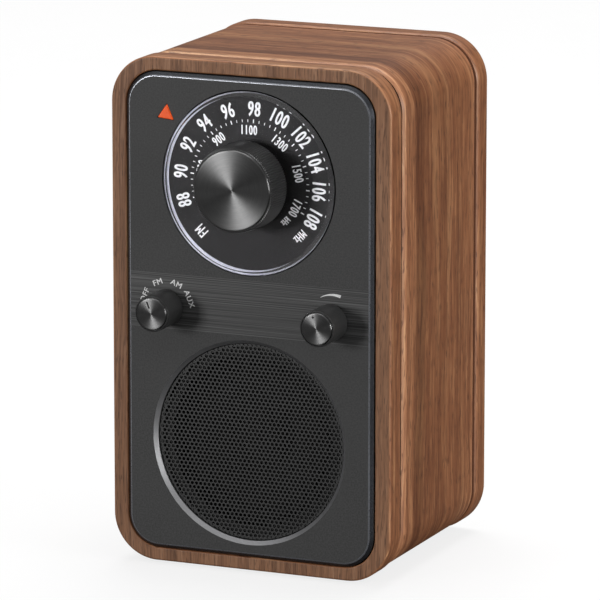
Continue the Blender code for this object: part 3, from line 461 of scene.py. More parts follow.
def walnut(name, light, middle, dark, rough, seed, across, figure_and_painted_edges):
    """Open-grain walnut. Its UV map runs along the grain in U and across it in V, in metres."""
    material, tree, shader, place = new_material(
        name, Specular_IOR_Level=0.32, Coat_Weight=0.08, Coat_Roughness=0.25)
    grain = add_node(tree, "UVMap", uv_map="grain").outputs[0]
    shift = (seed, seed * 0.37, seed)
    wander = noise(tree, stretched(tree, grain, (14, 40, 1), shift), 1.0, 2.0)
    sway = calculate_scaled(tree, wander, 0.009)
    bent = add_node(
        tree, "VectorMath", {0: grain, 1: add_node(tree, "CombineXYZ", {"Y": sway}).outputs[0]},
        operation="ADD",
    ).outputs[0]
    figure = noise(tree, stretched(tree, bent, (6, 85 * across, 1), shift), 1.0, 3.0, 0.6, 0.2)
    streak = noise(tree, stretched(tree, bent, (13, 300 * across, 1), shift), 1.0, 3.0, 0.65)
    fibre = noise(tree, stretched(tree, bent, (50, 760 * across, 1), shift), 1.0, 3.0, 0.65)
    pore = noise(tree, stretched(tree, bent, (230, 1400 * across, 1), shift), 1.0, 1.0)
    dusky = tuple((a + b) / 2 for a, b in zip(middle, dark))
    body = ramp(tree, figure, [(0.32, dusky), (0.47, middle), (0.54, middle), (0.7, light)])
    lined = mixed(tree, ramp(tree, streak, [(0.34, 0.4), (0.48, 0.0)]), body, dark)
    pale = mixed(tree, ramp(tree, streak, [(0.53, 0.0), (0.68, 0.4)]), lined, light)
    worn = mixed(tree, ramp(tree, fibre, [(0.36, 0.45), (0.48, 0.0)]), pale, shade(dark, 0.75))
    worn = mixed(tree, ramp(tree, fibre, [(0.54, 0.0), (0.66, 0.45)]), worn, shade(light, 1.15))
    shown = mixed(tree, ramp(tree, pore, [(0.33, 0.6), (0.41, 0.0)]), worn, shade(dark, 0.5))
    # The figure's tones, then the edges' painted highlights and painted shade, by depth
    if figure_and_painted_edges:
        depth = add_node(tree, "SeparateXYZ", {0: place}).outputs[1]
        swaying = add_node(tree, "Math", {0: depth, 1: sway}, operation="ADD").outputs[0]
        for at, tones in ((swaying, FIGURE_TONES), (depth, PAINTED_EDGE_LIGHT)):
            shown = mixed(tree, 1.0, shown, depth_tones(tree, at, tones), "MULTIPLY")
            shown = add_node(tree, "VectorMath", {0: shown, "Scale": TONE_TOP},
                             operation="SCALE").outputs[0]
    relief = calculate(tree, "MULTIPLY_ADD", fibre, 0.6, calculate(tree, "MULTIPLY", pore, 0.4))
    wire(
        tree, shader, Base_Color=shown,
        Roughness=ramp(tree, fibre, [(0.3, rough + 0.14), (0.7, rough)]),
        Normal=bump(tree, relief, 0.4, 0.08 * MM),
    )
    return material


def panel_paint(colour, band_low, band_high):
    """Dark satin paint with a finely brushed band between two heights."""
    material, tree, shader, place = new_material("panel_grey", Metallic=0.0, Specular_IOR_Level=0.4)
    height = add_node(tree, "SeparateXYZ", {0: place}).outputs[2]
    fade = 0.12 * MM
    above, below = (
        add_node(tree, "MapRange", {0: height, 1: start, 2: end}).outputs[0]
        for start, end in ((band_low - fade, band_low), (band_high + fade, band_high))
    )
    band = calculate(tree, "MULTIPLY", above, below)
    grit = noise(tree, place, 1900.0, 2.0, 0.65)
    cloud = noise(tree, place, 60.0, 2.0)
    brushed = noise(tree, stretched(tree, place, (9, 1, 3100)), 1.0, 1.0, 0.5)
    coarse = noise(tree, stretched(tree, place, (90, 1, 1300), (3, 0, 5)), 1.0, 2.0, 0.6)
    light = shade(colour, 1.3)
    paint = mixed(tree, ramp(tree, grit, [(0.38, 0.0), (0.62, 1.0)]), shade(colour, 0.68), light)
    paint = mixed(tree, ramp(tree, cloud, [(0.3, 0.0), (0.7, 0.25)]), paint, light)
    line = ramp(tree, brushed, [
        (0.34, shade(colour, 0.5)), (0.5, shade(colour, 1.25)), (0.66, shade(colour, 2.7))])
    line = mixed(tree, ramp(tree, coarse, [(0.42, 0.0), (0.62, 0.3)]), line, shade(colour, 1.6))
    edge = calculate(tree, "COMPARE", band, 0.5, 0.49)
    shown = mixed(tree, calculate(tree, "MULTIPLY", edge, 0.5), mixed(tree, band, paint, line),
                  shade(colour, 2.6))
    satin = ramp(tree, grit, [(0.3, 0.5), (0.7, 0.62)])
    silk = ramp(tree, brushed, [(0.3, 0.42), (0.7, 0.55)])
    wire(
        tree, shader, Base_Color=shown, Roughness=mixed(tree, band, satin, silk),
        Normal=bump(tree, mixed(tree, band, grit, brushed), 0.5, 0.02 * MM),
    )
    return material


def spun_metal(colour):
    """Turned aluminium. Its UV map runs outwards in U, in metres, and round in V, in radians."""
    material, tree, shader, _ = new_material(
        "spun_metal", Metallic=1.0, Anisotropic=0.9, Roughness=0.36
    )
    spun = add_node(tree, "UVMap", uv_map="spun").outputs[0]
    rings = noise(tree, stretched(tree, spun, (9000, 2.5, 1)), 1.0, 2.0, 0.7)
    broad = noise(tree, stretched(tree, spun, (2600, 1.2, 1)), 1.0, 1.0)
    tone = mixed(tree, ramp(tree, broad, [(0.3, 0.0), (0.7, 1.0)]),
                 shade(colour, 0.94), shade(colour, 1.06))
    tone = mixed(tree, ramp(tree, rings, [(0.35, 0.4), (0.6, 0.0)]), tone, shade(colour, 0.6))
    tangent = add_node(tree, "Tangent", direction_type="UV_MAP", uv_map="spun").outputs[0]
    wire(tree, shader, Base_Color=tone, Tangent=tangent, Normal=bump(tree, rings, 0.12, 0.01 * MM))
    return material


def clear_acrylic(tint):
    """Polished acrylic that lets the lamps through to the scale behind it."""
    material, tree, shader, place = new_material(
        "clear_acrylic", Transmission_Weight=1.0, Roughness=0.015, IOR=1.49
    )
    wear = noise(tree, place, 320.0, 3.0, 0.6)
    wire(tree, shader, Base_Color=ramp(tree, wear, [(0.3, tint), (0.75, shade(tint, 0.985))]))
    output = tree.nodes["Material Output"]
    ray = add_node(tree, "LightPath").outputs["Is Shadow Ray"]
    open_to_lamps = add_node(tree, "BsdfTransparent", {"Color": (0.94, 0.94, 0.95, 1)}).outputs[0]
    both = add_node(tree, "MixShader", {0: ray, 1: shader.outputs[0], 2: open_to_lamps})
    tree.links.new(both.outputs[0], output.inputs["Surface"])
    return material


def printed(name, colour, glow=0.0):
    """Screen-printed ink, slightly uneven. The dial's has a little painted glow, as if lit from behind.
    """
    material, tree, shader, place = new_material(
        name, Specular_IOR_Level=0.3, Emission_Strength=glow)
    shader.inputs["Emission Color"].default_value = (*colour, 1.0)
    patchy = noise(tree, place, 900.0, 3.0, 0.6)
    wire(
        tree, shader,
        Base_Color=ramp(tree, patchy, [(0.3, shade(colour, 0.9)), (0.6, colour)]),
        Roughness=ramp(tree, patchy, [(0.3, 0.6), (0.7, 0.48)]),
    )
    return material


def dial_ring():
    """Ink, bluish towards both its edges, with painted light and shade round the dial: palest at the
    left and foot, darkest from the top round to the right.
    """
    material, tree, shader, place = new_material("dial_ring", Specular_IOR_Level=0.3)
    centre = placed("dial_scale")[2]
    out = stretched(tree, place, (1, 1, 1), (-centre.x, 0, -centre.z))
    parts = add_node(tree, "SeparateXYZ", {0: out})
    angle = add_node(tree, "Math", {0: parts.outputs[2], 1: parts.outputs[0]},
                     operation="ARCTAN2").outputs[0]
    patchy = noise(tree, place, 700.0, 2.0)
    painted_light = ramp(tree, angle_share(tree, angle), [
        (0.0, 0.95), (0.08, 1.0), (0.17, 0.6), (0.27, 0.28), (0.42, 0.1), (0.55, 0.1),
        (0.66, 0.35), (0.75, 0.7), (0.85, 0.9), (1.0, 0.95)])
    tint = ramp(tree, patchy, [(0.3, (0.8, 0.82, 0.97)), (0.6, (0.9, 0.91, 1.0))])
    wire(
        tree, shader, Base_Color=mixed(tree, 1.0, tint, painted_light, "MULTIPLY"),
        Roughness=ramp(tree, patchy, [(0.3, 0.6), (0.7, 0.5)]),
    )
    return material


def angle_share(tree, angle):
    """How far round clockwise from the left an angle lies, from 0 to 1."""
    round_once = add_node(tree, "Math", {0: math.pi, 1: angle}, operation="SUBTRACT").outputs[0]
    return add_node(tree, "MapRange", {0: round_once, 1: 0.0, 2: FULL_TURN}).outputs[0]


def lens_plastic(colour):
    """Fluorescent translucent plastic with a fine moulded ripple, and a painted glow."""
    material, tree, shader, place = new_material(
        "orange_lens", Roughness=0.28, Emission_Strength=0.22
    )
    shader.inputs["Emission Color"].default_value = (*colour, 1.0)
    cloud = noise(tree, place, 800.0, 3.0, 0.6)
    wire(
        tree, shader,
        Base_Color=ramp(tree, cloud, [(0.3, shade(colour, 0.8)), (0.65, colour)]),
        Normal=bump(tree, cloud, 0.2, 0.05 * MM),
    )
    return material


def ribbed_winding(name, colour, pitch):
    """Wire wound in close turns along X, with painted shade between the turns."""
    material, tree, shader, place = new_material(name, Metallic=0.8)
    wave = add_node(
        tree, "TexWave", {"Vector": place, "Scale": 0.314 / pitch, "Distortion": 0.4},
        wave_type="BANDS", bands_direction="X",
    ).outputs["Fac"]
    wire(
        tree, shader,
        Base_Color=ramp(tree, wave, [(0.1, shade(colour, 0.35)), (0.7, colour)]),
        Roughness=ramp(tree, wave, [(0.1, 0.6), (0.8, 0.32)]),
        Normal=bump(tree, wave, 0.6, 0.1 * MM),
    )
    return material


def board_green():
    """Solder mask with faint copper tracks under it."""
    material, tree, shader, place = new_material("circuit_board", Roughness=0.35)
    cells = add_node(
        tree, "TexBrick",
        {"Vector": stretched(tree, place, (260, 260, 260)), "Color1": (0.012, 0.13, 0.05, 1),
         "Color2": (0.016, 0.17, 0.065, 1), "Mortar": (0.03, 0.26, 0.1, 1), "Scale": 1.0,
         "Mortar Size": 0.05},
    ).outputs[0]
    grit = noise(tree, place, 1500.0, 2.0)
    mask = mixed(tree, ramp(tree, grit, [(0.4, 0.0), (0.7, 0.3)]), cells, (0.01, 0.09, 0.035))
    wire(tree, shader, Base_Color=mask, Normal=bump(tree, grit, 0.2, 0.03 * MM))
    return material


def pressed_paper(name, colour):
    """Moulded paper pulp with faint rings of tone."""
    material, tree, shader, place = new_material(name, Sheen_Weight=0.15)
    pulp = noise(tree, place, 2600.0, 5.0, 0.75)
    rings = noise(tree, place, 240.0, 2.0)
    wire(
        tree, shader,
        Base_Color=mixed(tree, ramp(tree, rings, [(0.3, 0.0), (0.7, 1.0)]), shade(colour, 0.75),
                         colour),
        Roughness=ramp(tree, pulp, [(0.3, 0.95), (0.7, 0.78)]),
        Normal=bump(tree, pulp, 0.7, 0.06 * MM),
    )
    return material


def woven_cloth(name, colour):
    """Plain weave, its threads along X and Z, with painted shade between the threads."""
    material, tree, shader, place = new_material(name, Sheen_Weight=0.2, Roughness=0.8)
    threads = [
        add_node(tree, "TexWave", {"Vector": place, "Scale": 480.0, "Distortion": 0.6},
                 wave_type="BANDS", bands_direction=axis).outputs["Fac"]
        for axis in ("X", "Z")
    ]
    weave = calculate(tree, "MULTIPLY", *threads)
    wire(
        tree, shader,
        Base_Color=ramp(tree, weave, [(0.1, shade(colour, 0.4)), (0.6, colour)]),
        Normal=bump(tree, weave, 0.7, 0.1 * MM),
    )
    return material


# colour, roughness, grain, relief in millimetres, then metallic and the change of tone
MOULDED = {
    # painted shade, darker than the wood, for the faces deep in the cabinet's grooves
    "groove_painted_shade": ((0.018, 0.008, 0.005), 0.85, 1500, 0.03),
    "rear_groove_painted_shade": ((0.12, 0.048, 0.026), 0.85, 1500, 0.03),
    "panel_edge": ((0.05, 0.053, 0.06), 0.3, 3000, 0.002, 0.8),
    # a brighter copy of the chamfer's metal, as a painted highlight on its small roundings
    "panel_painted_highlight": ((0.3, 0.31, 0.34), 0.3, 3000, 0.002, 0.8),
    "opening_edge": ((0.36, 0.36, 0.37), 0.42, 3000, 0.002, 0.9),
    "black_plastic": ((0.022, 0.022, 0.023), 0.55, 2600, 0.06),
    "rubber": ((0.012, 0.012, 0.012), 0.8, 1800, 0.05),
    "zinc_steel": ((0.5, 0.5, 0.52), 0.34, 900, 0.02, 1.0, 0.18),
    "screw_black": ((0.05, 0.05, 0.052), 0.36, 3000, 0.02, 0.8),
    "brass": ((0.72, 0.5, 0.2), 0.3, 1400, 0.015, 1.0),
    "ferrite": ((0.05, 0.05, 0.055), 0.6, 1500, 0.05),
    "led_epoxy": ((0.85, 0.3, 0.08), 0.2, 600, 0.01),
    "wire_insulation": ((0.03, 0.03, 0.034), 0.42, 1200, 0.03),
    "socket_metal": ((0.62, 0.6, 0.56), 0.28, 1600, 0.02, 1.0),
}
SPECULAR = {"groove_painted_shade": 0.12, "rear_groove_painted_shade": 0.12}  # where it isn't Blender's own

_finishes = {}


def finish(name):
    """The finish of that name, made the first time it is asked for."""
    if name not in _finishes:
        if name in MOULDED:
            more = {"Specular_IOR_Level": SPECULAR[name]} if name in SPECULAR else {}
            _finishes[name] = moulded(name, *MOULDED[name], **more)
        else:
            _finishes[name] = special_finish(name)
    return _finishes[name]


def special_finish(name):
    """A finish that has its own function, or that takes its colour from the user's choice."""
    chosen = bpy.context.scene.radio_colours
    sizes = bpy.context.scene.radio_sizes

    def colour(of):
        return tuple(getattr(chosen, of))

    makers = {
        "walnut_side": lambda: walnut(
            name, colour("wood_light"), colour("wood"), colour("wood_dark"), 0.42, 0.0, 1.0, True),
        # The front's walnut is paler and greyer than the sides': partly its own tone, partly painted
        # sheen.
        "walnut_face": lambda: walnut(
            name, colour("wood_face_light"), colour("wood_face"), colour("wood_face_dark"),
            0.5, 7.3, 2.2, False),
        "panel_grey": lambda: panel_paint(colour("panel"), sizes.band_low, sizes.band_high),
        "knob_black": lambda: moulded(name, colour("knob"), 0.4, 5200, 0.015),
        "grille_black": lambda: moulded(
            name, colour("grille"), 0.4, 6000, 0.01, Specular_IOR_Level=0.6),
        "spun_metal": lambda: spun_metal(colour("metal")),
        "clear_acrylic": lambda: clear_acrylic(colour("acrylic")),
        "orange_lens": lambda: lens_plastic(colour("lens")),
        "white_print": lambda: printed(name, (0.82, 0.82, 0.82)),
        "black_print": lambda: printed(name, (0.012, 0.012, 0.012)),
        # the dial's numbers carry a little painted glow
        "dial_white": lambda: printed(name, (0.95, 0.95, 0.95), 0.2),
        "dial_black": lambda: printed(name, colour("dial")),
        "dial_ring": dial_ring,
        "cone_paper": lambda: pressed_paper(name, (0.014, 0.013, 0.012)),
        "treated_cloth": lambda: woven_cloth(name, (0.42, 0.27, 0.1)),
        "copper_winding": lambda: ribbed_winding(name, (0.66, 0.26, 0.1), 0.3 * MM),
        "circuit_board": board_green,
    }
    return makers[name]()


# ---------------------------------------------------------------- what a user may change


def length_property(name, description, millimetres):
    return FloatProperty(
        name=name, description=description, default=millimetres * MM, unit="LENGTH")


class RadioSizes(bpy.types.PropertyGroup):
    """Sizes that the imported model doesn't give by itself."""

    cabinet_corner: length_property("Cabinet corner", "Radius of the cabinet's corners", 15.0)
    front_groove_edge: length_property(
        "Front groove edge", "Rounding of the front frame towards its groove", 0.8)
    rear_groove_edge: length_property(
        "Rear groove edge", "Rounding of the rear frame towards its groove", 2.0)
    sleeve_front_edge: length_property(
        "Sleeve's front edge", "Rounding of the sleeve's front end", 3.0)
    sleeve_rear_edge: length_property(
        "Sleeve's rear edge", "Rounding of the sleeve's rear end", 1.5)
    panel_corner: length_property("Panel corner", "Radius of the front panel's corners", 10.5)
    panel_chamfer: length_property("Panel chamfer", "Chamfer round the front panel", 1.1)
    band_low: length_property("Band's foot", "Height of the brushed band's lower edge", 78.5)
    band_high: length_property("Band's top", "Height of the brushed band's upper edge", 96.2)
    knob_ribs: IntProperty(
        name="Knob ribs", description="Ribs round the tuning knob", default=110, min=24)
    hole_pitch: length_property(
        "Hole pitch", "Between neighbouring holes of the grille", 1.475)
    hole_radius: length_property("Hole radius", "Radius of one hole of the grille", 0.56)


def colour_property(name, description, default):
    return FloatVectorProperty(
        name=name, description=description, default=default, subtype="COLOR", size=3,
        min=0.0, max=1.0)


class RadioColours(bpy.types.PropertyGroup):
    """Colours of the finishes."""

    wood: colour_property("Walnut", "Middle tone of the cabinet's sides", (0.2, 0.074, 0.029))
    wood_light: colour_property("Light walnut", "Light streaks of the sides", (0.35, 0.172, 0.078))
    wood_dark: colour_property("Dark walnut", "Dark streaks of the sides", (0.09, 0.028, 0.011))
    # The front's walnut is paler and greyer than the sides': partly its own tone, partly painted sheen.
    wood_face: colour_property("Front walnut", "Middle tone of the front", (0.285, 0.135, 0.068))
    wood_face_light: colour_property("Light front walnut", "Light streaks of the front",
                                     (0.39, 0.21, 0.12))
    wood_face_dark: colour_property("Dark front walnut", "Dark streaks of the front",
                                    (0.12, 0.055, 0.031))
    panel: colour_property("Panel", "Front panel's paint", (0.042, 0.042, 0.042))
    metal: colour_property("Spun metal", "Knob caps", (0.145, 0.145, 0.145))
    knob: colour_property("Knob", "Knob skirts", (0.022, 0.022, 0.022))
    grille: colour_property("Grille", "Perforated sheet", (0.022, 0.022, 0.022))
    dial: colour_property("Dial", "Ground of the scale", (0.006, 0.005, 0.005))
    acrylic: colour_property("Acrylic", "Clear dial disc", (0.97, 0.97, 0.99))
    lens: colour_property("Lens", "Tuning pointer", (0.9, 0.1, 0.008))


# ---------------------------------------------------------------- operators


class RADIO_OT_stage(bpy.types.Operator):
    """Adds the floor, the soft lamps, the surroundings and the camera"""

    bl_idname = "radio.stage"
    bl_label = "Stage"

    AZIMUTH = math.radians(23.26)
    ELEVATION = math.radians(12.03)
    ROLL = math.radians(0.016)
    TARGET = Vector((-0.0005, 0.00715, 0.0817))
    DISTANCE = 1.7886
    LENS_MM = 330.6
    SENSOR_MM = 36.0

    # name, place, side of the square lamp, watts
    LAMPS = (
        ("key_lamp", (-1.05, -1.7, 0.34), 0.5, 16.0),
        ("side_lamp", (1.9, -0.2, 0.35), 0.7, 29.0),
        ("top_lamp", (-0.1, 0.5, 1.9), 1.3, 32.0),
    )

    def execute(self, context):
        scene = context.scene
        scene.view_settings.view_transform = "Standard"
        self.add_floor()
        self.add_surroundings(scene)
        for name, place, side, watts in self.LAMPS:
            deselect_all()
            bpy.ops.object.light_add(type="AREA", location=place)
            lamp = context.object
            lamp.name = name
            lamp.data.size = side
            lamp.data.energy = watts
            lamp.visible_transmission = False  # keeps its image out of the clear disc
            lamp.rotation_euler = (self.TARGET - Vector(place)).to_track_quat("-Z", "Y").to_euler()
        self.add_camera(scene)
        return {"FINISHED"}

    def add_floor(self):
        deselect_all()
        bpy.ops.mesh.primitive_plane_add(size=14.0, location=(0, 0, 0))
        floor = settle("floor")
        material, tree, shader, place = new_material("floor_white", Roughness=0.9)
        shader.inputs["Specular IOR Level"].default_value = 0.0
        speckle = noise(tree, place, 30.0, 3.0)
        tree.links.new(ramp(tree, speckle, [(0.3, 0.86), (0.7, 0.88)]),
                       shader.inputs["Base Color"])
        ray = add_node(tree, "LightPath")
        seen = ray.outputs["Is Camera Ray"]
        white = add_node(tree, "Emission", {"Color": (1, 1, 1, 1), "Strength": 1.0}).outputs[0]
        dark = add_node(tree, "BsdfDiffuse", {"Color": (0.09, 0.09, 0.09, 1)}).outputs[0]
        shown = add_node(tree, "MixShader", {0: 0.8, 1: shader.outputs[0], 2: white}).outputs[0]
        both = add_node(tree, "MixShader", {0: seen, 1: dark, 2: shown})
        tree.links.new(both.outputs[0], tree.nodes["Material Output"].inputs["Surface"])
        floor.data.materials.append(material)

    def add_surroundings(self, scene):
        world = bpy.data.worlds.new("studio")
        scene.world = world
        world.use_nodes = True
        tree = world.node_tree
        ray = add_node(tree, "LightPath")
        seen = ray.outputs["Is Camera Ray"]
        lit = add_node(tree, "Background", {"Color": (1, 1, 1, 1), "Strength": 0.4}).outputs[0]
        white = add_node(tree, "Background", {"Color": (1, 1, 1, 1), "Strength": 1.0}).outputs[0]
        ways = add_node(tree, "TexCoord").outputs["Generated"]
        height = add_node(tree, "SeparateXYZ", {0: ways}).outputs[2]
        sky = add_node(tree, "Background", {
            "Color": ramp(tree, height, [(0.0, 0.03), (0.16, 0.12), (0.4, 0.2), (0.9, 0.9)])})
        mirrored = add_node(tree, "MixShader", {
            0: ray.outputs["Is Glossy Ray"], 1: lit, 2: sky.outputs[0]})
        both = add_node(tree, "MixShader", {0: seen, 1: mirrored.outputs[0], 2: white})
        tree.links.new(both.outputs[0], tree.nodes["World Output"].inputs["Surface"])

    def add_camera(self, scene):
        back = Vector((
            math.sin(self.AZIMUTH) * math.cos(self.ELEVATION),
            -math.cos(self.AZIMUTH) * math.cos(self.ELEVATION),
            math.sin(self.ELEVATION),
        ))
        deselect_all()
        bpy.ops.object.camera_add(location=self.TARGET + back * self.DISTANCE)
        camera = bpy.context.object
        camera.name = "camera"
        right = Vector((math.cos(self.AZIMUTH), math.sin(self.AZIMUTH), 0.0))
        up = back.cross(right)
        turned_right = right * math.cos(self.ROLL) + up * math.sin(self.ROLL)
        turned_up = up * math.cos(self.ROLL) - right * math.sin(self.ROLL)
        axes = Matrix((turned_right, turned_up, back)).transposed()
        camera.rotation_euler = axes.to_euler()
        camera.data.sensor_width = self.SENSOR_MM
        camera.data.lens = self.LENS_MM
        camera.data.clip_start = 0.05
        camera.data.clip_end = 50.0
        scene.camera = camera


def off_outline(spot, low, high, corner):
    """How far outside a rounded rectangle a point lies, seen from the front."""
    middle = (low + high) / 2
    reach = (high - low) / 2
    x = max(abs(spot.x - middle.x) - reach.x + corner, 0.0)
    z = max(abs(spot.z - middle.z) - reach.z + corner, 0.0)
    return math.hypot(x, z) - corner


def outline_distance(spot, reach, corner, right):
    """How far round a rounded rectangle a point lies from its top middle, in metres."""
    side = 1.0 if right else -1.0
    straight_x = reach.x - corner
    straight_z = reach.z - corner
    across = abs(spot.x)
    quarter = corner * math.pi / 2
    if abs(spot.z) <= straight_z:
        distance = straight_x + quarter + (straight_z - spot.z)
    elif spot.z > 0:
        if across <= straight_x:
            distance = across
        else:
            turn = math.atan2(across - straight_x, spot.z - straight_z)
            distance = straight_x + corner * turn
    elif across <= straight_x:
        distance = straight_x + 2 * quarter + 2 * straight_z + (straight_x - across)
    else:
        turn = math.atan2(-spot.z - straight_z, across - straight_x)
        distance = straight_x + quarter + 2 * straight_z + corner * turn
    return side * distance


def lay_grain(obj, low, high, corner, shift):
    """Unwraps a wooden ring, so that its grain runs round its sides and upright on its faces."""
    mesh = obj.data
    grain = mesh.uv_layers.new(name="grain")
    middle = (low + high) / 2
    reach = (high - low) / 2
    for face in mesh.polygons:
        flat = abs(face.normal.y) > 0.9
        face.material_index = 1 if flat else 0
        for loop in face.loop_indices:
            spot = mesh.vertices[mesh.loops[loop].vertex_index].co - middle
            if flat:
                grain.data[loop].uv = (spot.z, spot.x + shift)
            else:
                along = outline_distance(spot, reach, corner, face.center.x > 0)
                grain.data[loop].uv = (along, spot.y + shift)


class RADIO_OT_cabinet(bpy.types.Operator):
    """Builds the front frame, the sleeve and the rear frame of the cabinet"""

    bl_idname = "radio.cabinet"
    bl_label = "Cabinet"

    FINISHES = ("walnut_side", "walnut_face", "groove_painted_shade", "rear_groove_painted_shade")
    PANEL_GAP = 0.4 * MM
    OUTER_EDGE = 0.8 * MM
    FRONT_RECESS = 6.4 * MM
    LIP_SIDE = 7.0 * MM
    LIP_END = 5.0 * MM
    LIP_CORNER = 4.0 * MM
    RECESS_EDGE = 0.55 * MM
    STAINED = ((-25.2 * MM, -21.9 * MM), (38.5 * MM, 40.0 * MM))  # from Y to Y: painted shade in the grooves
    SLEEVE_WALL = 7.25 * MM
    SLEEVE_CORNER_DROP = 0.45 * MM  # the sleeve's corner is tighter than the frames' by this
    NECK_LENGTH = 2.0 * MM  # of the lower step that makes the sleeve's front groove
    NECK_DROP = 3.4 * MM
    REAR_RECESS = 4.3 * MM
    REAR_LEDGE = 4.3 * MM
    REAR_LEDGE_CORNER = 1.0 * MM
    COVER_GAP = 0.3 * MM

    def execute(self, context):
        sizes = context.scene.radio_sizes
        self.add_front(sizes)
        self.add_sleeve(sizes)
        self.add_rear(sizes)
        return {"FINISHED"}

    def finish_wood(self, ring, low, high, corner, shift, node):
        smooth(ring)
        finish_piece(ring, "cabinet", "walnut_veneer", self.FINISHES, node)
        lay_grain(ring, low, high, corner, shift)
        # faces in the grooves take the painted shade finishes
        for face in ring.data.polygons:
            if any(near < face.center.y < far for near, far in self.STAINED):
                face.material_index = 2 if face.center.y < 0 else 3

    def split_in_the_middle(self, ring):
        """Parts the faces at X 0, where the veneer meets under the cabinet."""
        begin_edit(ring, "FACE")
        bpy.ops.mesh.select_all(action="SELECT")
        bpy.ops.mesh.bisect(plane_co=(0, 0, 0), plane_no=(1, 0, 0))
        end_edit()

    def screw_holes(self, prefix, near, far):
        holes = []
        for i in range(1, 5):
            middle = placed(f"{prefix}_{i}")[2]
            holes.append(
                rod(f"{prefix}_hole_{i}", SCREW_HOLE, near, far, middle.x, middle.z, sides=20))
        return holes

    def add_front(self, sizes):
        low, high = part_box("front_frame")
        panel_low, panel_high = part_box("front_panel")
        gap = Vector((self.PANEL_GAP, 0, self.PANEL_GAP))
        ring = rounded_slab("front_frame_veneer", low, high, sizes.cabinet_corner, 20,
                            (self.OUTER_EDGE, 3), (sizes.front_groove_edge, 4))
        self.split_in_the_middle(ring)
        recess_low = panel_low - gap
        recess_high = panel_high + gap
        recess_low.y = low.y - BEYOND
        recess_high.y = low.y + self.FRONT_RECESS
        lip = Vector((self.LIP_SIDE, 0, self.LIP_END))
        lip_low = panel_low + lip
        lip_high = panel_high - lip
        lip_low.y = recess_high.y - BEYOND
        lip_high.y = high.y + BEYOND
        cut(
            ring,
            rounded_slab("recess", recess_low, recess_high, sizes.panel_corner + self.PANEL_GAP, 16),
            rounded_slab("lip_opening", lip_low, lip_high, self.LIP_CORNER, 8),
            *self.screw_holes("frame_screw", recess_high.y - BEYOND, high.y + BEYOND),
        )
        corner = sizes.panel_corner + self.PANEL_GAP
        bevel_edges(
            ring,
            lambda middle, along: abs(middle.y - low.y) < TOUCH
            and abs(off_outline(middle, recess_low, recess_high, corner)) < 0.05 * MM,
            self.RECESS_EDGE, 3,
        )
        self.finish_wood(ring, low, high, sizes.cabinet_corner, 0.113, "front_frame")

    def add_sleeve(self, sizes):
        low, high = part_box("cabinet_sleeve")
        corner = sizes.cabinet_corner - self.SLEEVE_CORNER_DROP
        body_low = low + Vector((0, self.NECK_LENGTH, 0))
        ring = rounded_slab("cabinet_sleeve_veneer", body_low, high, corner, 20,
                            (sizes.sleeve_front_edge, 8), (sizes.sleeve_rear_edge, 5))
        drop = Vector((self.NECK_DROP, 0, self.NECK_DROP))
        neck_high = high - drop
        neck_high.y = low.y + 2 * self.NECK_LENGTH
        merge(ring, rounded_slab("neck", low + drop, neck_high, corner - self.NECK_DROP, 14))
        self.split_in_the_middle(ring)
        wall = Vector((self.SLEEVE_WALL, -BEYOND, self.SLEEVE_WALL))
        cut(ring, rounded_slab("hollow", low + wall, high - wall, corner - self.SLEEVE_WALL, 10))
        self.finish_wood(ring, low, high, corner, 0.4, "cabinet_sleeve")

    def add_rear(self, sizes):
        low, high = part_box("rear_frame")
        cover_low, cover_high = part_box("rear_cover")
        ring = rounded_slab("rear_frame_veneer", low, high, sizes.cabinet_corner, 20,
                            (sizes.rear_groove_edge, 6), (self.OUTER_EDGE, 3))
        self.split_in_the_middle(ring)
        gap = Vector((self.COVER_GAP, 0, self.COVER_GAP))
        recess_low = cover_low - gap
        recess_high = cover_high + gap
        recess_low.y = high.y - self.REAR_RECESS
        recess_high.y = high.y + BEYOND
        ledge = Vector((self.REAR_LEDGE, 0, self.REAR_LEDGE))
        ledge_low = recess_low + ledge
        ledge_high = recess_high - ledge
        ledge_low.y = low.y - BEYOND
        ledge_high.y = high.y
        cut(
            ring,
            rounded_slab("cover_recess", recess_low, recess_high,
                         COVER_CORNER + self.COVER_GAP, 14),
            rounded_slab("ledge_opening", ledge_low, ledge_high, self.REAR_LEDGE_CORNER, 4),
            *self.screw_holes("rear_cover_screw", low.y + 1 * MM, high.y + BEYOND),
        )
        self.finish_wood(ring, low, high, sizes.cabinet_corner, 0.71, "rear_frame")


class RADIO_OT_feet(bpy.types.Operator):
    """Builds the four rubber feet"""

    bl_idname = "radio.feet"
    bl_label = "Feet"

    HOLLOW = 0.5 * MM

    def execute(self, context):
        for i in range(1, 5):
            low, high, middle, radius = placed(f"foot_{i}")
            deselect_all()
            bpy.ops.mesh.primitive_cylinder_add(
                vertices=48, radius=radius, depth=high.z - low.z, location=middle)
            foot = settle(f"rubber_foot_{i}")
            bevel_edges(foot, lambda spot, along: spot.z < low.z + TOUCH, 0.4 * MM, 4)
            begin_edit(foot, "FACE")
            pick_faces(foot, lambda spot, normal: normal.z < -0.9 and spot.z < low.z + TOUCH)
            bpy.ops.mesh.inset(thickness=radius * 0.35)
            bpy.ops.mesh.inset(thickness=0.4 * MM, depth=-self.HOLLOW)
            end_edit()
            smooth(foot)
            finish_piece(foot, "cabinet", "rubber", ["rubber"], f"foot_{i}")
        return {"FINISHED"}


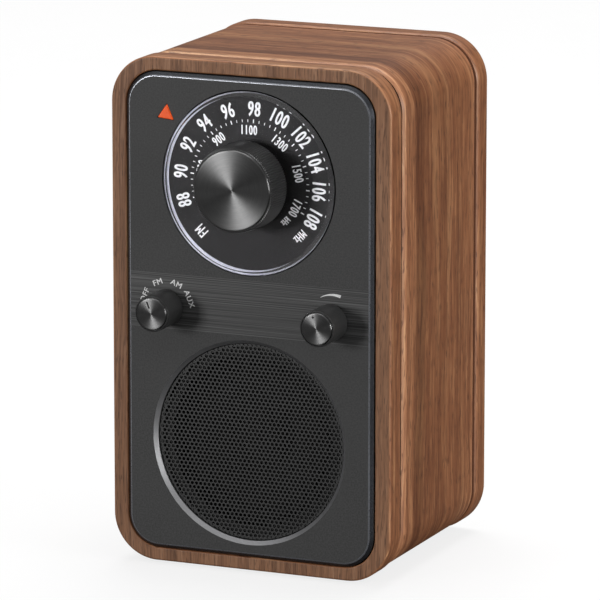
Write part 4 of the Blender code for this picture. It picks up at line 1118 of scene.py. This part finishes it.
class RADIO_OT_front_panel(bpy.types.Operator):
    """Builds the front panel with its openings and its brushed band"""

    bl_idname = "radio.front_panel"
    bl_label = "Front panel"

    FINISHES = ("panel_grey", "panel_edge", "panel_painted_highlight", "opening_edge")
    DIAL_GAP = 0.5 * MM
    GRILLE_OPENING = 32.3 * MM
    GRILLE_CHAMFER = 1.2 * MM
    SHAFT_HOLE = 3.6 * MM
    LENS_GAP = 0.3 * MM
    EDGE = 0.28 * MM  # of the chamfer, towards the front
    SIDE_ZONE = 12 * MM
    TOP_ZONE = 140 * MM

    def execute(self, context):
        sizes = context.scene.radio_sizes
        low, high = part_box("front_panel")
        panel = rounded_slab("panel", low, high, sizes.panel_corner, 18, (sizes.panel_chamfer, 1))
        bevel_edges(panel, self.chamfer_edge(low, sizes.panel_chamfer), self.EDGE, 2)
        near = low.y - BEYOND
        far = high.y + BEYOND
        _, _, dial, dial_radius = placed("dial_disc")
        grille = placed("speaker_grille")[2]
        flare = self.GRILLE_CHAMFER + BEYOND
        cutters = [
            rod("dial_opening", dial_radius + self.DIAL_GAP, near, far, dial.x, dial.z),
            turned("grille_opening", [
                (0, near), (self.GRILLE_OPENING + flare, near),
                (self.GRILLE_OPENING, low.y + self.GRILLE_CHAMFER), (self.GRILLE_OPENING, far),
                (0, far)], grille.x, grille.z, DISC_SIDES),
            lens_bar("lens_hole", self.LENS_GAP, near, far),
        ]
        for name in ("function_knob", "volume_knob"):
            middle = placed(name)[2]
            cutters.append(rod(name + "_hole", self.SHAFT_HOLE, near, far, middle.x, middle.z, 48))
        cut(panel, *cutters)
        smooth(panel)
        finish_piece(panel, "cabinet", "panel_grey", self.FINISHES, "front_panel")
        # The chamfer gets the edge metal, and its small roundings a brighter copy as a painted
        # highlight.
        edge_width = sizes.panel_chamfer + 0.4 * MM
        for face in panel.data.polygons:
            outwards = face.center - grille
            outwards.y = 0
            if not 0.2 < abs(face.normal.y) < 0.985:
                continue
            if off_outline(face.center, low, high, sizes.panel_corner) > -edge_width:
                face.material_index = 1 if abs(face.normal.y) < 0.75 else 2
            elif outwards.length < self.GRILLE_OPENING + 2 * MM:
                face.material_index = 3
        return {"FINISHED"}

    def chamfer_edge(self, low, chamfer):
        """Tells which edges lie along the front of the chamfer."""
        return lambda middle, along: (
            abs(middle.y - low.y) < TOUCH and abs(along.y) < 0.1
            and (abs(middle.x) > abs(low.x) - self.SIDE_ZONE or middle.z < low.z + chamfer * 2
                 or middle.z > self.TOP_ZONE)
        )


def lens_bar(name, grow, near, far):
    """A three-sided bar with one corner towards the dial's centre."""
    dial = placed("dial_disc")[2]
    distance = RADIO_OT_pointer_lens.DISTANCE
    angle = RADIO_OT_pointer_lens.ANGLE
    x = dial.x + distance * math.cos(angle)
    z = dial.z + distance * math.sin(angle)
    corner = RADIO_OT_pointer_lens.LENGTH * 2 / 3 + grow
    bar = rod(name, corner, near, far, 0, 0, sides=3)
    tip = max((vertex.co for vertex in bar.data.vertices), key=lambda co: co.xz.length)
    turn = angle + math.pi - math.atan2(tip.z, tip.x)
    return put(bar, Matrix.Translation((x, 0, z)) @ Matrix.Rotation(turn, 4, TO_FRONT))


class RADIO_OT_pointer_lens(bpy.types.Operator):
    """Builds the orange lens that points at the dial"""

    bl_idname = "radio.pointer_lens"
    bl_label = "Pointer lens"

    ANGLE = math.radians(144.3)
    DISTANCE = 35.1 * MM
    LENGTH = 4.7 * MM

    def execute(self, context):
        low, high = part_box("pointer_lens")
        lens = lens_bar("pointer_lens_moulding", 0.0, low.y, high.y)
        bevel_edges(lens, lambda middle, along: abs(along.y) > 0.9, 0.3 * MM, 3)
        bevel_edges(lens, lambda middle, along: middle.y < low.y + TOUCH, 0.22 * MM, 3)
        smooth(lens)
        finish_piece(lens, "cabinet", "orange_lens", ["orange_lens"], "pointer_lens")
        return {"FINISHED"}


class RADIO_OT_panel_marks(bpy.types.Operator):
    """Prints the selector's positions and the volume mark on the front panel"""

    bl_idname = "radio.panel_marks"
    bl_label = "Panel marks"

    POSITIONS = (("OFF", 157.5), ("FM", 112.5), ("AM", 67.5), ("AUX", 22.5))
    LABEL_RADIUS = 8.5 * MM
    LABEL_HEIGHT = 1.75 * MM
    VOLUME_START = math.radians(116)
    VOLUME_END = math.radians(69)
    VOLUME_RADIUS = 8.4 * MM
    VOLUME_THIN = 0.12 * MM
    VOLUME_THICK = 1.0 * MM
    VOLUME_STEPS = 16

    def execute(self, context):
        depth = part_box("front_panel")[0].y - PRINT_RISE
        middle = placed("function_knob")[2]
        labels = []
        for words, angle in self.POSITIONS:
            label = lettering(f"label_{words}", words, self.LABEL_HEIGHT, 1.05, 0.1 * MM, 1.12)
            labels.append(put(label, dial_place(
                middle.x, depth, middle.z, math.radians(angle), self.LABEL_RADIUS)))
        middle = placed("volume_knob")[2]
        labels.append(self.volume_mark(middle.x, depth, middle.z))
        marks = join("panel_print", labels)
        finish_piece(marks, "cabinet", "scale_print", ["white_print"])
        return {"FINISHED"}

    def volume_mark(self, x, depth, z):
        """A wedge that follows an arc and widens towards loud."""
        deselect_all()
        bpy.ops.mesh.primitive_cube_add(size=1.0)
        mark = bpy.context.object
        mark.scale = (1, PRINT_THICKNESS, 1)
        mark = settle("volume_mark")
        begin_edit(mark, "EDGE")
        pick_edges(mark, lambda middle, along: abs(along.x) > 0.9)
        bpy.ops.mesh.subdivide(number_cuts=self.VOLUME_STEPS)
        end_edit()
        for vertex in mark.data.vertices:
            share = vertex.co.x + 0.5
            angle = self.VOLUME_START + (self.VOLUME_END - self.VOLUME_START) * share
            width = self.VOLUME_THIN + (self.VOLUME_THICK - self.VOLUME_THIN) * share
            radius = self.VOLUME_RADIUS + width * (vertex.co.z + 0.5)
            vertex.co = (x + radius * math.cos(angle), depth + vertex.co.y,
                         z + radius * math.sin(angle))
        begin_edit(mark, "FACE")
        bpy.ops.mesh.select_all(action="SELECT")
        bpy.ops.mesh.normals_make_consistent(inside=False)
        end_edit()
        return mark


class RADIO_OT_dial_disc(bpy.types.Operator):
    """Turns the clear disc with its bevelled edge"""

    bl_idname = "radio.dial_disc"
    bl_label = "Dial disc"

    BEVEL = 1.3 * MM
    BACK_EDGE = 0.25 * MM
    HOLE = 3.3 * MM

    def execute(self, context):
        low, high, middle, radius = placed("dial_disc")
        disc = turned("clear_disc", [
            (self.HOLE, low.y), (radius * 0.5, low.y), (radius - self.BEVEL, low.y),
            (radius, low.y + self.BEVEL), (radius, high.y - self.BACK_EDGE),
            (radius - self.BACK_EDGE, high.y), (radius * 0.5, high.y), (self.HOLE, high.y)],
            middle.x, middle.z, DISC_SIDES, closed=True)
        smooth(disc)
        finish_piece(disc, "tuning_dial", "acrylic", ["clear_acrylic"], "dial_disc")
        return {"FINISHED"}


class RADIO_OT_dial_scale(bpy.types.Operator):
    """Builds the dark scale behind the disc, with its numbers and ticks"""

    bl_idname = "radio.dial_scale"
    bl_label = "Dial scale"

    FM_FIRST = 88
    FM_LAST = 108
    FM_ANGLE = 197.2  # of the first number, in degrees
    FM_STEP = 11.1  # degrees for one megahertz
    FM_RADIUS = 23.9 * MM
    FM_HEIGHT = 4.6 * MM
    AM_NUMBERS = (530, 700, 900, 1100, 1300, 1500, 1700)
    AM_ANGLE = 128.5  # of 900 kilohertz
    AM_STEP = 0.1905  # degrees for one kilohertz
    AM_RADIUS = 17.1 * MM
    AM_HEIGHT = 3.0 * MM
    WORDS = (("FM", 224.8, 23.6 * MM, 3.5 * MM), ("MHz", -42.6, 23.6 * MM, 2.7 * MM),
             ("kHz", -42.6, 16.8 * MM, 2.1 * MM))
    TICK_RADIUS = 20.0 * MM
    RING = 28.1 * MM  # inner radius of the pale ring round the scale
    EDGE = 0.15 * MM
    HOLE = 3.3 * MM

    def execute(self, context):
        low, high, middle, radius = placed("dial_scale")
        scale = turned("dial_face", [
            (self.HOLE, low.y), (radius * 0.5, low.y), (radius - self.EDGE, low.y),
            (radius, low.y + self.EDGE), (radius, high.y), (self.HOLE, high.y)],
            middle.x, middle.z, DISC_SIDES, closed=True)
        smooth(scale)
        finish_piece(scale, "tuning_dial", "scale_print", ["dial_black"], "dial_scale")
        depth = low.y - PRINT_RISE
        ring = turned("dial_ring", [
            (self.RING, depth), (radius - self.EDGE, depth), (radius - self.EDGE, low.y),
            (self.RING, low.y)], middle.x, middle.z, DISC_SIDES, closed=True)
        finish_piece(ring, "tuning_dial", "scale_print", ["dial_ring"])
        marks = []
        for number in range(self.FM_FIRST, self.FM_LAST + 1, 2):
            mark = lettering(f"fm_{number}", str(number), self.FM_HEIGHT, 0.6, 0.27 * MM, 1.18)
            angle = self.FM_ANGLE - self.FM_STEP * (number - self.FM_FIRST)
            marks.append((mark, angle, self.FM_RADIUS))
        for number in self.AM_NUMBERS:
            mark = lettering(f"am_{number}", str(number), self.AM_HEIGHT, 0.6, 0.17 * MM, 1.18)
            marks.append((mark, self.AM_ANGLE - self.AM_STEP * (number - 900), self.AM_RADIUS))
        for words, angle, at, height in self.WORDS:
            word = lettering(f"word_{words}", words, height, 0.52, 0.16 * MM, 1.18)
            marks.append((word, angle, at))
        for half in range(2 * (self.FM_LAST - self.FM_FIRST) + 1):
            major = half % 4 == 0
            width, length = (0.36 * MM, 1.2 * MM) if major else (0.22 * MM, 0.85 * MM)
            tick = block(f"tick_{half}", Vector((-width / 2, -length / 2, -PRINT_THICKNESS / 2)),
                         Vector((width / 2, length / 2, PRINT_THICKNESS / 2)))
            marks.append((tick, self.FM_ANGLE - self.FM_STEP * half / 2, self.TICK_RADIUS))
        printed_marks = [
            put(mark, dial_place(middle.x, depth, middle.z, math.radians(angle), at))
            for mark, angle, at in marks
        ]
        numbers = join("dial_numbers", printed_marks)
        finish_piece(numbers, "tuning_dial", "scale_print", ["dial_white"])
        return {"FINISHED"}


def lay_spun(obj, x, z):
    """Unwraps a turned piece: outwards in U, in metres, and round in V, in radians."""
    mesh = obj.data
    spun = mesh.uv_layers.new(name="spun")
    for face in mesh.polygons:
        middle_angle = math.atan2(face.center.z - z, face.center.x - x)
        for loop in face.loop_indices:
            co = mesh.vertices[mesh.loops[loop].vertex_index].co
            radius = math.hypot(co.x - x, co.z - z)
            angle = middle_angle
            if radius > TOUCH:
                angle = math.atan2(co.z - z, co.x - x)
                angle += FULL_TURN * round((middle_angle - angle) / FULL_TURN)
            spun.data[loop].uv = (radius + co.y * 0.7, angle)


def add_cap(name, node, body, sides):
    """A spun metal cap with a rounded rim."""
    low, high, middle, radius = placed(node)
    edge = 0.4 * MM
    rim = 0.3 * MM
    arc = [(radius - edge + edge * math.sin(a), low.y + edge - edge * math.cos(a))
           for a in (math.radians(d) for d in (0, 22.5, 45, 67.5, 90))]
    inner = [(0, low.y)] + [(radius * share, low.y) for share in (0.2, 0.4, 0.6, 0.8)]
    cap = turned(name, inner + [(radius - edge - rim, low.y)] + arc + [
        (radius, high.y), (0, high.y)], middle.x, middle.z, sides)
    smooth(cap)
    lay_spun(cap, middle.x, middle.z)
    finish_piece(cap, body, "knob_metal", ["spun_metal"], node)


def knob_body(node, bore, sides, skirt):
    """A knob with a pocket for its cap and a bore for its shaft. skirt is its outside, front to
    back, as (radius, y) points."""
    low, high, middle, _ = placed(node)
    _, cap_high, _, cap_radius = placed(node + "_cap")
    pocket = cap_radius + CAP_GAP
    floor = cap_high.y + CAP_GAP
    bore_end = floor + KNOB_ROOF
    return turned(node + "_body", [
        (0, floor), (pocket, floor), (pocket, low.y), *skirt, (bore, high.y), (bore, bore_end),
        (0, bore_end)], middle.x, middle.z, sides)


class RADIO_OT_tuning_knob(bpy.types.Operator):
    """Builds the ribbed tuning knob and its spun cap"""

    bl_idname = "radio.tuning_knob"
    bl_label = "Tuning knob"

    RIB_DEPTH = 0.4 * MM
    TAPER = 0.55 * MM  # how much slimmer the knob is at its front
    EDGE = 0.5 * MM
    BORE = 3.3 * MM

    def execute(self, context):
        sizes = context.scene.radio_sizes
        low, high, middle, radius = placed("tuning_knob")
        steps = 2 * sizes.knob_ribs
        front = radius - self.TAPER
        knob = knob_body("tuning_knob", self.BORE, steps, [
            (front - self.EDGE * 0.5, low.y), (front, low.y + self.EDGE * 0.5),
            (radius, high.y - self.EDGE), (radius - self.EDGE * 0.5, high.y)])
        self.press_ribs(knob, middle, radius, steps)
        smooth(knob, math.radians(24))
        finish_piece(knob, "tuning_dial", "knob_black", ["knob_black"], "tuning_knob")
        add_cap("tuning_cap", "tuning_knob_cap", "tuning_dial", ROUND_SIDES)
        return {"FINISHED"}

    def press_ribs(self, knob, middle, radius, steps):
        """Pulls every second edge of the skirt towards the axis."""
        begin_edit(knob, "EDGE")
        half = math.pi / steps

        def every_second(spot, along):
            angle = math.atan2(spot.z - middle.z, spot.x - middle.x) % FULL_TURN
            far_out = math.hypot(spot.z - middle.z, spot.x - middle.x) > radius - 2 * self.TAPER
            return far_out and abs(along.y) > 0.3 and round(angle / (2 * half)) % 2 == 1

        pick_edges(knob, every_second)
        shrink = (radius - self.RIB_DEPTH) / radius
        bpy.ops.transform.resize(value=(shrink, 1, shrink), center_override=middle)
        end_edit()


class RADIO_OT_small_knobs(bpy.types.Operator):
    """Builds the function and volume knobs with their marked caps"""

    bl_idname = "radio.small_knobs"
    bl_label = "Small knobs"

    EDGE = 0.5 * MM
    BORE = 2.3 * MM
    LINE_ANGLE = math.radians(111)
    LINE_RADIUS = 3.05 * MM
    LINE_LENGTH = 2.3 * MM
    LINE_WIDTH = 0.5 * MM
    DOT_ANGLE = math.radians(107)
    DOT_PLACE = 3.9 * MM
    DOT_RADIUS = 0.38 * MM

    def execute(self, context):
        for kind, body in (("function", "function_selector"), ("volume", "volume_control")):
            low, high, middle, radius = placed(f"{kind}_knob")
            cap_low = placed(f"{kind}_knob_cap")[0]
            knob = knob_body(f"{kind}_knob", self.BORE, SMALL_SIDES, [
                (radius - self.EDGE, low.y), (radius - self.EDGE * 0.3, low.y + self.EDGE * 0.3),
                (radius, low.y + self.EDGE), (radius, high.y - self.EDGE),
                (radius - self.EDGE * 0.5, high.y)])
            smooth(knob)
            finish_piece(knob, body, "knob_black", ["knob_black"], f"{kind}_knob")
            add_cap(f"{kind}_cap", f"{kind}_knob_cap", body, SMALL_SIDES)
            mark = self.add_mark(kind, middle, cap_low)
            finish_piece(mark, body, "knob_black", ["black_print"])
        return {"FINISHED"}

    def add_mark(self, kind, middle, cap_low):
        depth = cap_low.y - PRINT_THICKNESS * 0.3
        if kind == "function":
            half = Vector((self.LINE_WIDTH / 2, self.LINE_LENGTH / 2, PRINT_THICKNESS / 2))
            mark = block("function_mark", -half, half)
            bevel_edges(mark, lambda spot, along: abs(along.z) > 0.9, self.LINE_WIDTH * 0.35, 3)
            angle, radius = self.LINE_ANGLE, self.LINE_RADIUS
        else:
            deselect_all()
            bpy.ops.mesh.primitive_cylinder_add(
                vertices=24, radius=self.DOT_RADIUS, depth=PRINT_THICKNESS)
            mark = settle("volume_dot")
            bevel_edges(mark, lambda spot, along: abs(along.z) < 0.1 and spot.z > 0,
                        PRINT_THICKNESS * 0.2, 1)
            angle, radius = self.DOT_ANGLE, self.DOT_PLACE
        return put(mark, dial_place(middle.x, depth, middle.z, angle, radius))


class RADIO_OT_speaker_grille(bpy.types.Operator):
    """Builds the perforated sheet over the loudspeaker"""

    bl_idname = "radio.speaker_grille"
    bl_label = "Loudspeaker grille"

    HOLE_SIDES = 12
    TRIM_SIDES = 96
    RIM = 0.9 * MM
    SHEET = 0.6 * MM

    def execute(self, context):
        sizes = context.scene.radio_sizes
        low, high, middle, radius = placed("speaker_grille")
        sheet = self.add_cell(sizes.hole_radius, sizes.hole_pitch)
        self.repeat(sheet, sizes.hole_pitch, radius)
        self.trim(sheet, radius)
        activate(sheet)
        bpy.ops.object.modifier_add(type="SOLIDIFY")
        solidify = sheet.modifiers[-1]
        solidify.thickness = self.SHEET
        solidify.offset = -1.0
        bpy.ops.object.modifier_apply(modifier=solidify.name)
        put(sheet, Matrix.Translation((middle.x, low.y, middle.z)) @ Matrix.Rotation(
            math.pi / 2, 4, "X"))
        activate(sheet)
        bpy.ops.object.shade_flat()
        rim = turned("grille_rim", [
            (radius - self.RIM, low.y + self.SHEET * 0.5), (radius, low.y + self.SHEET * 0.5),
            (radius, high.y), (radius - self.RIM, high.y)], middle.x, middle.z, DISC_SIDES, closed=True)
        grille = join("perforated_grille", [sheet, rim])
        finish_piece(grille, "cabinet", "grille_black", ["grille_black"],
                     "speaker_grille")
        return {"FINISHED"}

    def add_cell(self, hole, pitch):
        """One six-sided cell with a round hole, flat in XY."""
        deselect_all()
        bpy.ops.mesh.primitive_circle_add(vertices=self.HOLE_SIDES, radius=hole)
        cell = settle("grille_cell")
        begin_edit(cell, "VERT")
        bpy.ops.mesh.select_all(action="SELECT")
        bpy.ops.mesh.extrude_region_move()
        side = pitch / 2 / hole
        bpy.ops.transform.resize(value=(side, side, 1))
        mesh = bmesh.from_edit_mesh(cell.data)
        bpy.ops.mesh.select_all(action="DESELECT")
        for vertex in mesh.verts:
            sixth = math.atan2(vertex.co.y, vertex.co.x) / math.radians(60)
            if vertex.co.length > hole * 1.1 and abs(sixth - round(sixth)) > 0.25:
                vertex.select_set(True)
        bmesh.update_edit_mesh(cell.data)
        to_corner = 1 / math.cos(math.radians(30))
        bpy.ops.transform.resize(value=(to_corner, to_corner, 1), center_override=(0, 0, 0))
        bpy.ops.mesh.select_all(action="SELECT")
        bpy.ops.mesh.normals_make_consistent(inside=False)
        end_edit()
        return cell

    def repeat(self, sheet, pitch, radius):
        """Fills a square with rows of cells, every second row half a cell along."""
        row = pitch * math.sin(math.radians(60))
        across = 2 * math.ceil(radius / pitch) + 2
        rows = 2 * math.ceil(radius / row) + 2
        activate(sheet)
        self.array(sheet, across, (pitch, 0))
        second = copy_of(sheet, "second_row")
        put(second, Matrix.Translation((pitch / 2, row, 0)))
        sheet = join("grille_cell", [sheet, second])
        self.array(sheet, rows // 2, (0, 2 * row))
        begin_edit(sheet, "VERT")
        bpy.ops.mesh.select_all(action="SELECT")
        bpy.ops.mesh.remove_doubles(threshold=TOUCH)
        bpy.ops.transform.translate(
            value=(-pitch * (across // 2 - 1), -row * (rows // 2 - 1), 0))
        end_edit()

    def array(self, obj, count, step):
        activate(obj)
        bpy.ops.object.modifier_add(type="ARRAY")
        array = obj.modifiers[-1]
        array.count = count
        array.use_relative_offset = False
        array.use_constant_offset = True
        array.constant_offset_displace = (*step, 0)
        bpy.ops.object.modifier_apply(modifier=array.name)

    def trim(self, sheet, radius):
        """Cuts the sheet round along short straight lines."""
        begin_edit(sheet, "FACE")
        for i in range(self.TRIM_SIDES):
            angle = FULL_TURN * i / self.TRIM_SIDES
            out = Vector((math.cos(angle), math.sin(angle), 0))
            bpy.ops.mesh.select_all(action="SELECT")
            bpy.ops.mesh.bisect(plane_co=out * (radius - 0.02 * MM), plane_no=out,
                                clear_outer=True)
        end_edit()


class RADIO_OT_rear(bpy.types.Operator):
    """Builds the rear cover, its screws, the sockets and their labels"""

    bl_idname = "radio.rear"
    bl_label = "Rear"

    PLATE = 3.0 * MM
    COVER_EDGE = 0.5 * MM
    COUNTERBORE = 2.3 * MM
    COUNTERBORE_DEPTH = 1.7 * MM
    NOSE = 4.0 * MM
    NOSE_GAP = 0.3 * MM
    SCREW_HEAD = 1.4 * MM
    SCREW_SHANK = 1.1 * MM
    SCREW_RIM = 0.5 * MM  # the upright part of its head, below the dome
    SCREW_DOME = 0.9 * MM
    CROSS_REACH = 1.15 * MM
    CROSS_HALF = 0.27 * MM  # half the width of a slot
    CROSS_DEPTH = 0.8 * MM
    CROSS_TURN = 0.4
    SHOULDER = 3.3 * MM  # of a socket, below the cover's face
    BORE_DEPTH = 9.7 * MM
    LABEL_HEIGHT = 2.0 * MM
    LABEL_RISE = 8 * MM  # above its socket's axis
    # node, words, radius of the bore and of the pin
    LABELS = (("dc_socket", "DC 5V", 2.9 * MM, 1.0 * MM), ("aux_socket", "AUX", 1.8 * MM, 0.0))

    def execute(self, context):
        low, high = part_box("rear_cover")
        plate_low = Vector((low.x, high.y - self.PLATE, low.z))
        cover = rounded_slab("rear_cover_moulding", plate_low, high, COVER_CORNER, 14,
                             None, (self.COVER_EDGE, 3))
        cutters = []
        for i in range(1, 5):
            middle = placed(f"rear_cover_screw_{i}")[2]
            cutters.append(rod(f"counterbore_{i}", self.COUNTERBORE,
                               high.y - self.COUNTERBORE_DEPTH, high.y + BEYOND, middle.x,
                               middle.z, 40))
            cutters.append(rod(f"cover_hole_{i}", SCREW_HOLE, plate_low.y - BEYOND,
                               high.y + BEYOND, middle.x, middle.z, 24))
        for name, _, _, _ in self.LABELS:
            middle = placed(name)[2]
            cutters.append(rod(f"{name}_window", self.NOSE + self.NOSE_GAP,
                               plate_low.y - BEYOND, high.y + BEYOND, middle.x,
                               middle.z, SMALL_SIDES))
        cut(cover, *cutters)
        smooth(cover)
        finish_piece(cover, "cabinet", "black_plastic", ["black_plastic"], "rear_cover")
        for i in range(1, 5):
            self.add_screw(f"rear_cover_screw_{i}")
        labels = []
        for name, words, bore, pin in self.LABELS:
            x, z = self.add_socket(name, bore, pin)
            label = lettering(f"label_{name}", words, self.LABEL_HEIGHT, 0.85, 0.05 * MM)
            place = (
                Matrix.Translation((x, high.y + PRINT_RISE, z + self.LABEL_RISE))
                @ Matrix.Rotation(math.pi, 4, "Z")
                @ Matrix.Rotation(math.pi / 2, 4, "X")
            )
            labels.append(put(label, place))
        marks = join("rear_print", labels)
        finish_piece(marks, "cabinet", "scale_print", ["white_print"])
        return {"FINISHED"}

    def add_screw(self, node):
        """A pan head screw with a cross in its head."""
        low, high, middle, radius = placed(node)
        head = high.y - self.SCREW_HEAD
        shank = self.SCREW_SHANK
        arc = [(radius * math.cos(a), head + self.SCREW_RIM + self.SCREW_DOME * math.sin(a))
               for a in (math.radians(d) for d in (0, 20, 40, 60, 80, 90))]
        arc[-1] = (0, high.y)
        screw = turned(f"{node}_head", [
            (0, low.y), (shank * 0.5, low.y), (shank, low.y + shank), (shank, head),
            (radius, head)] + arc, middle.x, middle.z, 32)
        corner = Vector((self.CROSS_REACH, self.CROSS_DEPTH, self.CROSS_HALF))
        slots = []
        for turn in (0, math.pi / 2):
            slot = block(f"slot_{turn:.0f}", -corner, corner)
            place = Matrix.Translation((middle.x, high.y, middle.z)) @ Matrix.Rotation(
                turn + self.CROSS_TURN, 4, "Y")
            slots.append(put(slot, place))
        cut(screw, *slots)
        smooth(screw)
        finish_piece(screw, "cabinet", "zinc_steel", ["screw_black"], node)

    def add_socket(self, node, bore, pin):
        """A square socket body with a round nose, a bore and, for power, a pin."""
        low, high, middle, _ = placed(node)
        edge = 0.35 * MM
        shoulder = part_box("rear_cover")[1].y - self.SHOULDER
        bottom = high.y - self.BORE_DEPTH
        body = block(f"{node}_body", low, Vector((high.x, shoulder, high.z)))
        bevel_edges(body, lambda spot, along: True, 0.4 * MM, 2)
        cut(body, rod("bore_back", bore + 0.35 * MM, bottom - 0.3 * MM, high.y + BEYOND,
                      middle.x, middle.z, 48))
        smooth(body)
        nose = turned(f"{node}_nose", [
            (bore, bottom), (bore + 0.3 * MM, bottom), (bore + 0.3 * MM, shoulder + 0.2 * MM),
            (self.NOSE, shoulder + 0.2 * MM), (self.NOSE, high.y - edge),
            (self.NOSE - edge * 0.3, high.y - edge * 0.3), (self.NOSE - edge, high.y),
            (bore + edge, high.y), (bore, high.y - edge)], middle.x, middle.z, SMALL_SIDES,
            closed=True)
        smooth(nose)
        finish_piece(join(f"{node}_moulding", [body, nose]), "cabinet", "black_plastic",
                     ["black_plastic"], node)
        if pin:
            contact = turned(f"{node}_pin", [
                (0, bottom), (pin, bottom), (pin, high.y - 2 * MM),
                (pin * 0.7, high.y - 1.6 * MM), (0, high.y - 1.5 * MM)], middle.x, middle.z, 24)
            smooth(contact)
            finish_piece(contact, "cabinet", "zinc_steel", ["socket_metal"])
        return middle.x, middle.z


class RADIO_OT_inner_finishes(bpy.types.Operator):
    """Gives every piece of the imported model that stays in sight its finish"""

    bl_idname = "radio.inner_finishes"
    bl_label = "Inner finishes"

    FINISHES = {
        "baffle": "rubber", "rod_bracket": "black_plastic", "speaker_surround": "rubber",
        "speaker_basket": "black_plastic",
        "pointer_led": "led_epoxy", "tuning_shaft": "brass", "function_shaft": "brass",
        "volume_shaft": "brass", "speaker_magnet": "ferrite", "ferrite_rod": "ferrite",
        "speaker_cone": "cone_paper", "speaker_dust_cap": "cone_paper",
        "voice_coil": "copper_winding", "rod_coil": "copper_winding",
        "speaker_spider": "treated_cloth", "main_board": "circuit_board",
        "jack_board": "circuit_board", "fm_aerial_wire": "wire_insulation",
        "socket_cable": "wire_insulation", "speaker_cable": "wire_insulation",
    }

    def execute(self, context):
        for name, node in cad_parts.items():
            if node.hide_render:
                continue
            material = finish(self.FINISHES.get(name, "zinc_steel"))
            if not node.material_slots:
                raise RuntimeError(f"{name} has no material slot")
            for slot in node.material_slots:
                slot.material = material
        return {"FINISHED"}


OPERATORS = (
    RADIO_OT_stage,
    RADIO_OT_cabinet,
    RADIO_OT_feet,
    RADIO_OT_front_panel,
    RADIO_OT_pointer_lens,
    RADIO_OT_panel_marks,
    RADIO_OT_dial_disc,
    RADIO_OT_dial_scale,
    RADIO_OT_tuning_knob,
    RADIO_OT_small_knobs,
    RADIO_OT_speaker_grille,
    RADIO_OT_rear,
    RADIO_OT_inner_finishes,
)


class RADIO_PT_panel(bpy.types.Panel):
    """Sizes, colours and the pieces in their order"""

    bl_idname = "RADIO_PT_panel"
    bl_label = "Tabletop Radio"
    bl_space_type = "VIEW_3D"
    bl_region_type = "UI"
    bl_category = "Radio"

    def draw(self, context):
        layout = self.layout
        for group in (context.scene.radio_sizes, context.scene.radio_colours):
            box = layout.box()
            for name in group.__annotations__:
                box.prop(group, name)
        for operator in OPERATORS:
            layout.operator(operator.bl_idname)


CLASSES = (RadioSizes, RadioColours, *OPERATORS, RADIO_PT_panel)


def register():
    for cls in CLASSES:
        bpy.utils.register_class(cls)
    bpy.types.Scene.radio_sizes = PointerProperty(type=RadioSizes)
    bpy.types.Scene.radio_colours = PointerProperty(type=RadioColours)


def unregister():
    del bpy.types.Scene.radio_colours
    del bpy.types.Scene.radio_sizes
    for cls in reversed(CLASSES):
        bpy.utils.unregister_class(cls)


def main():
    register()
    for operator in OPERATORS:
        group, name = operator.bl_idname.split(".")
        getattr(getattr(bpy.ops, group), name)()


if __name__ == "__main__":
    main()
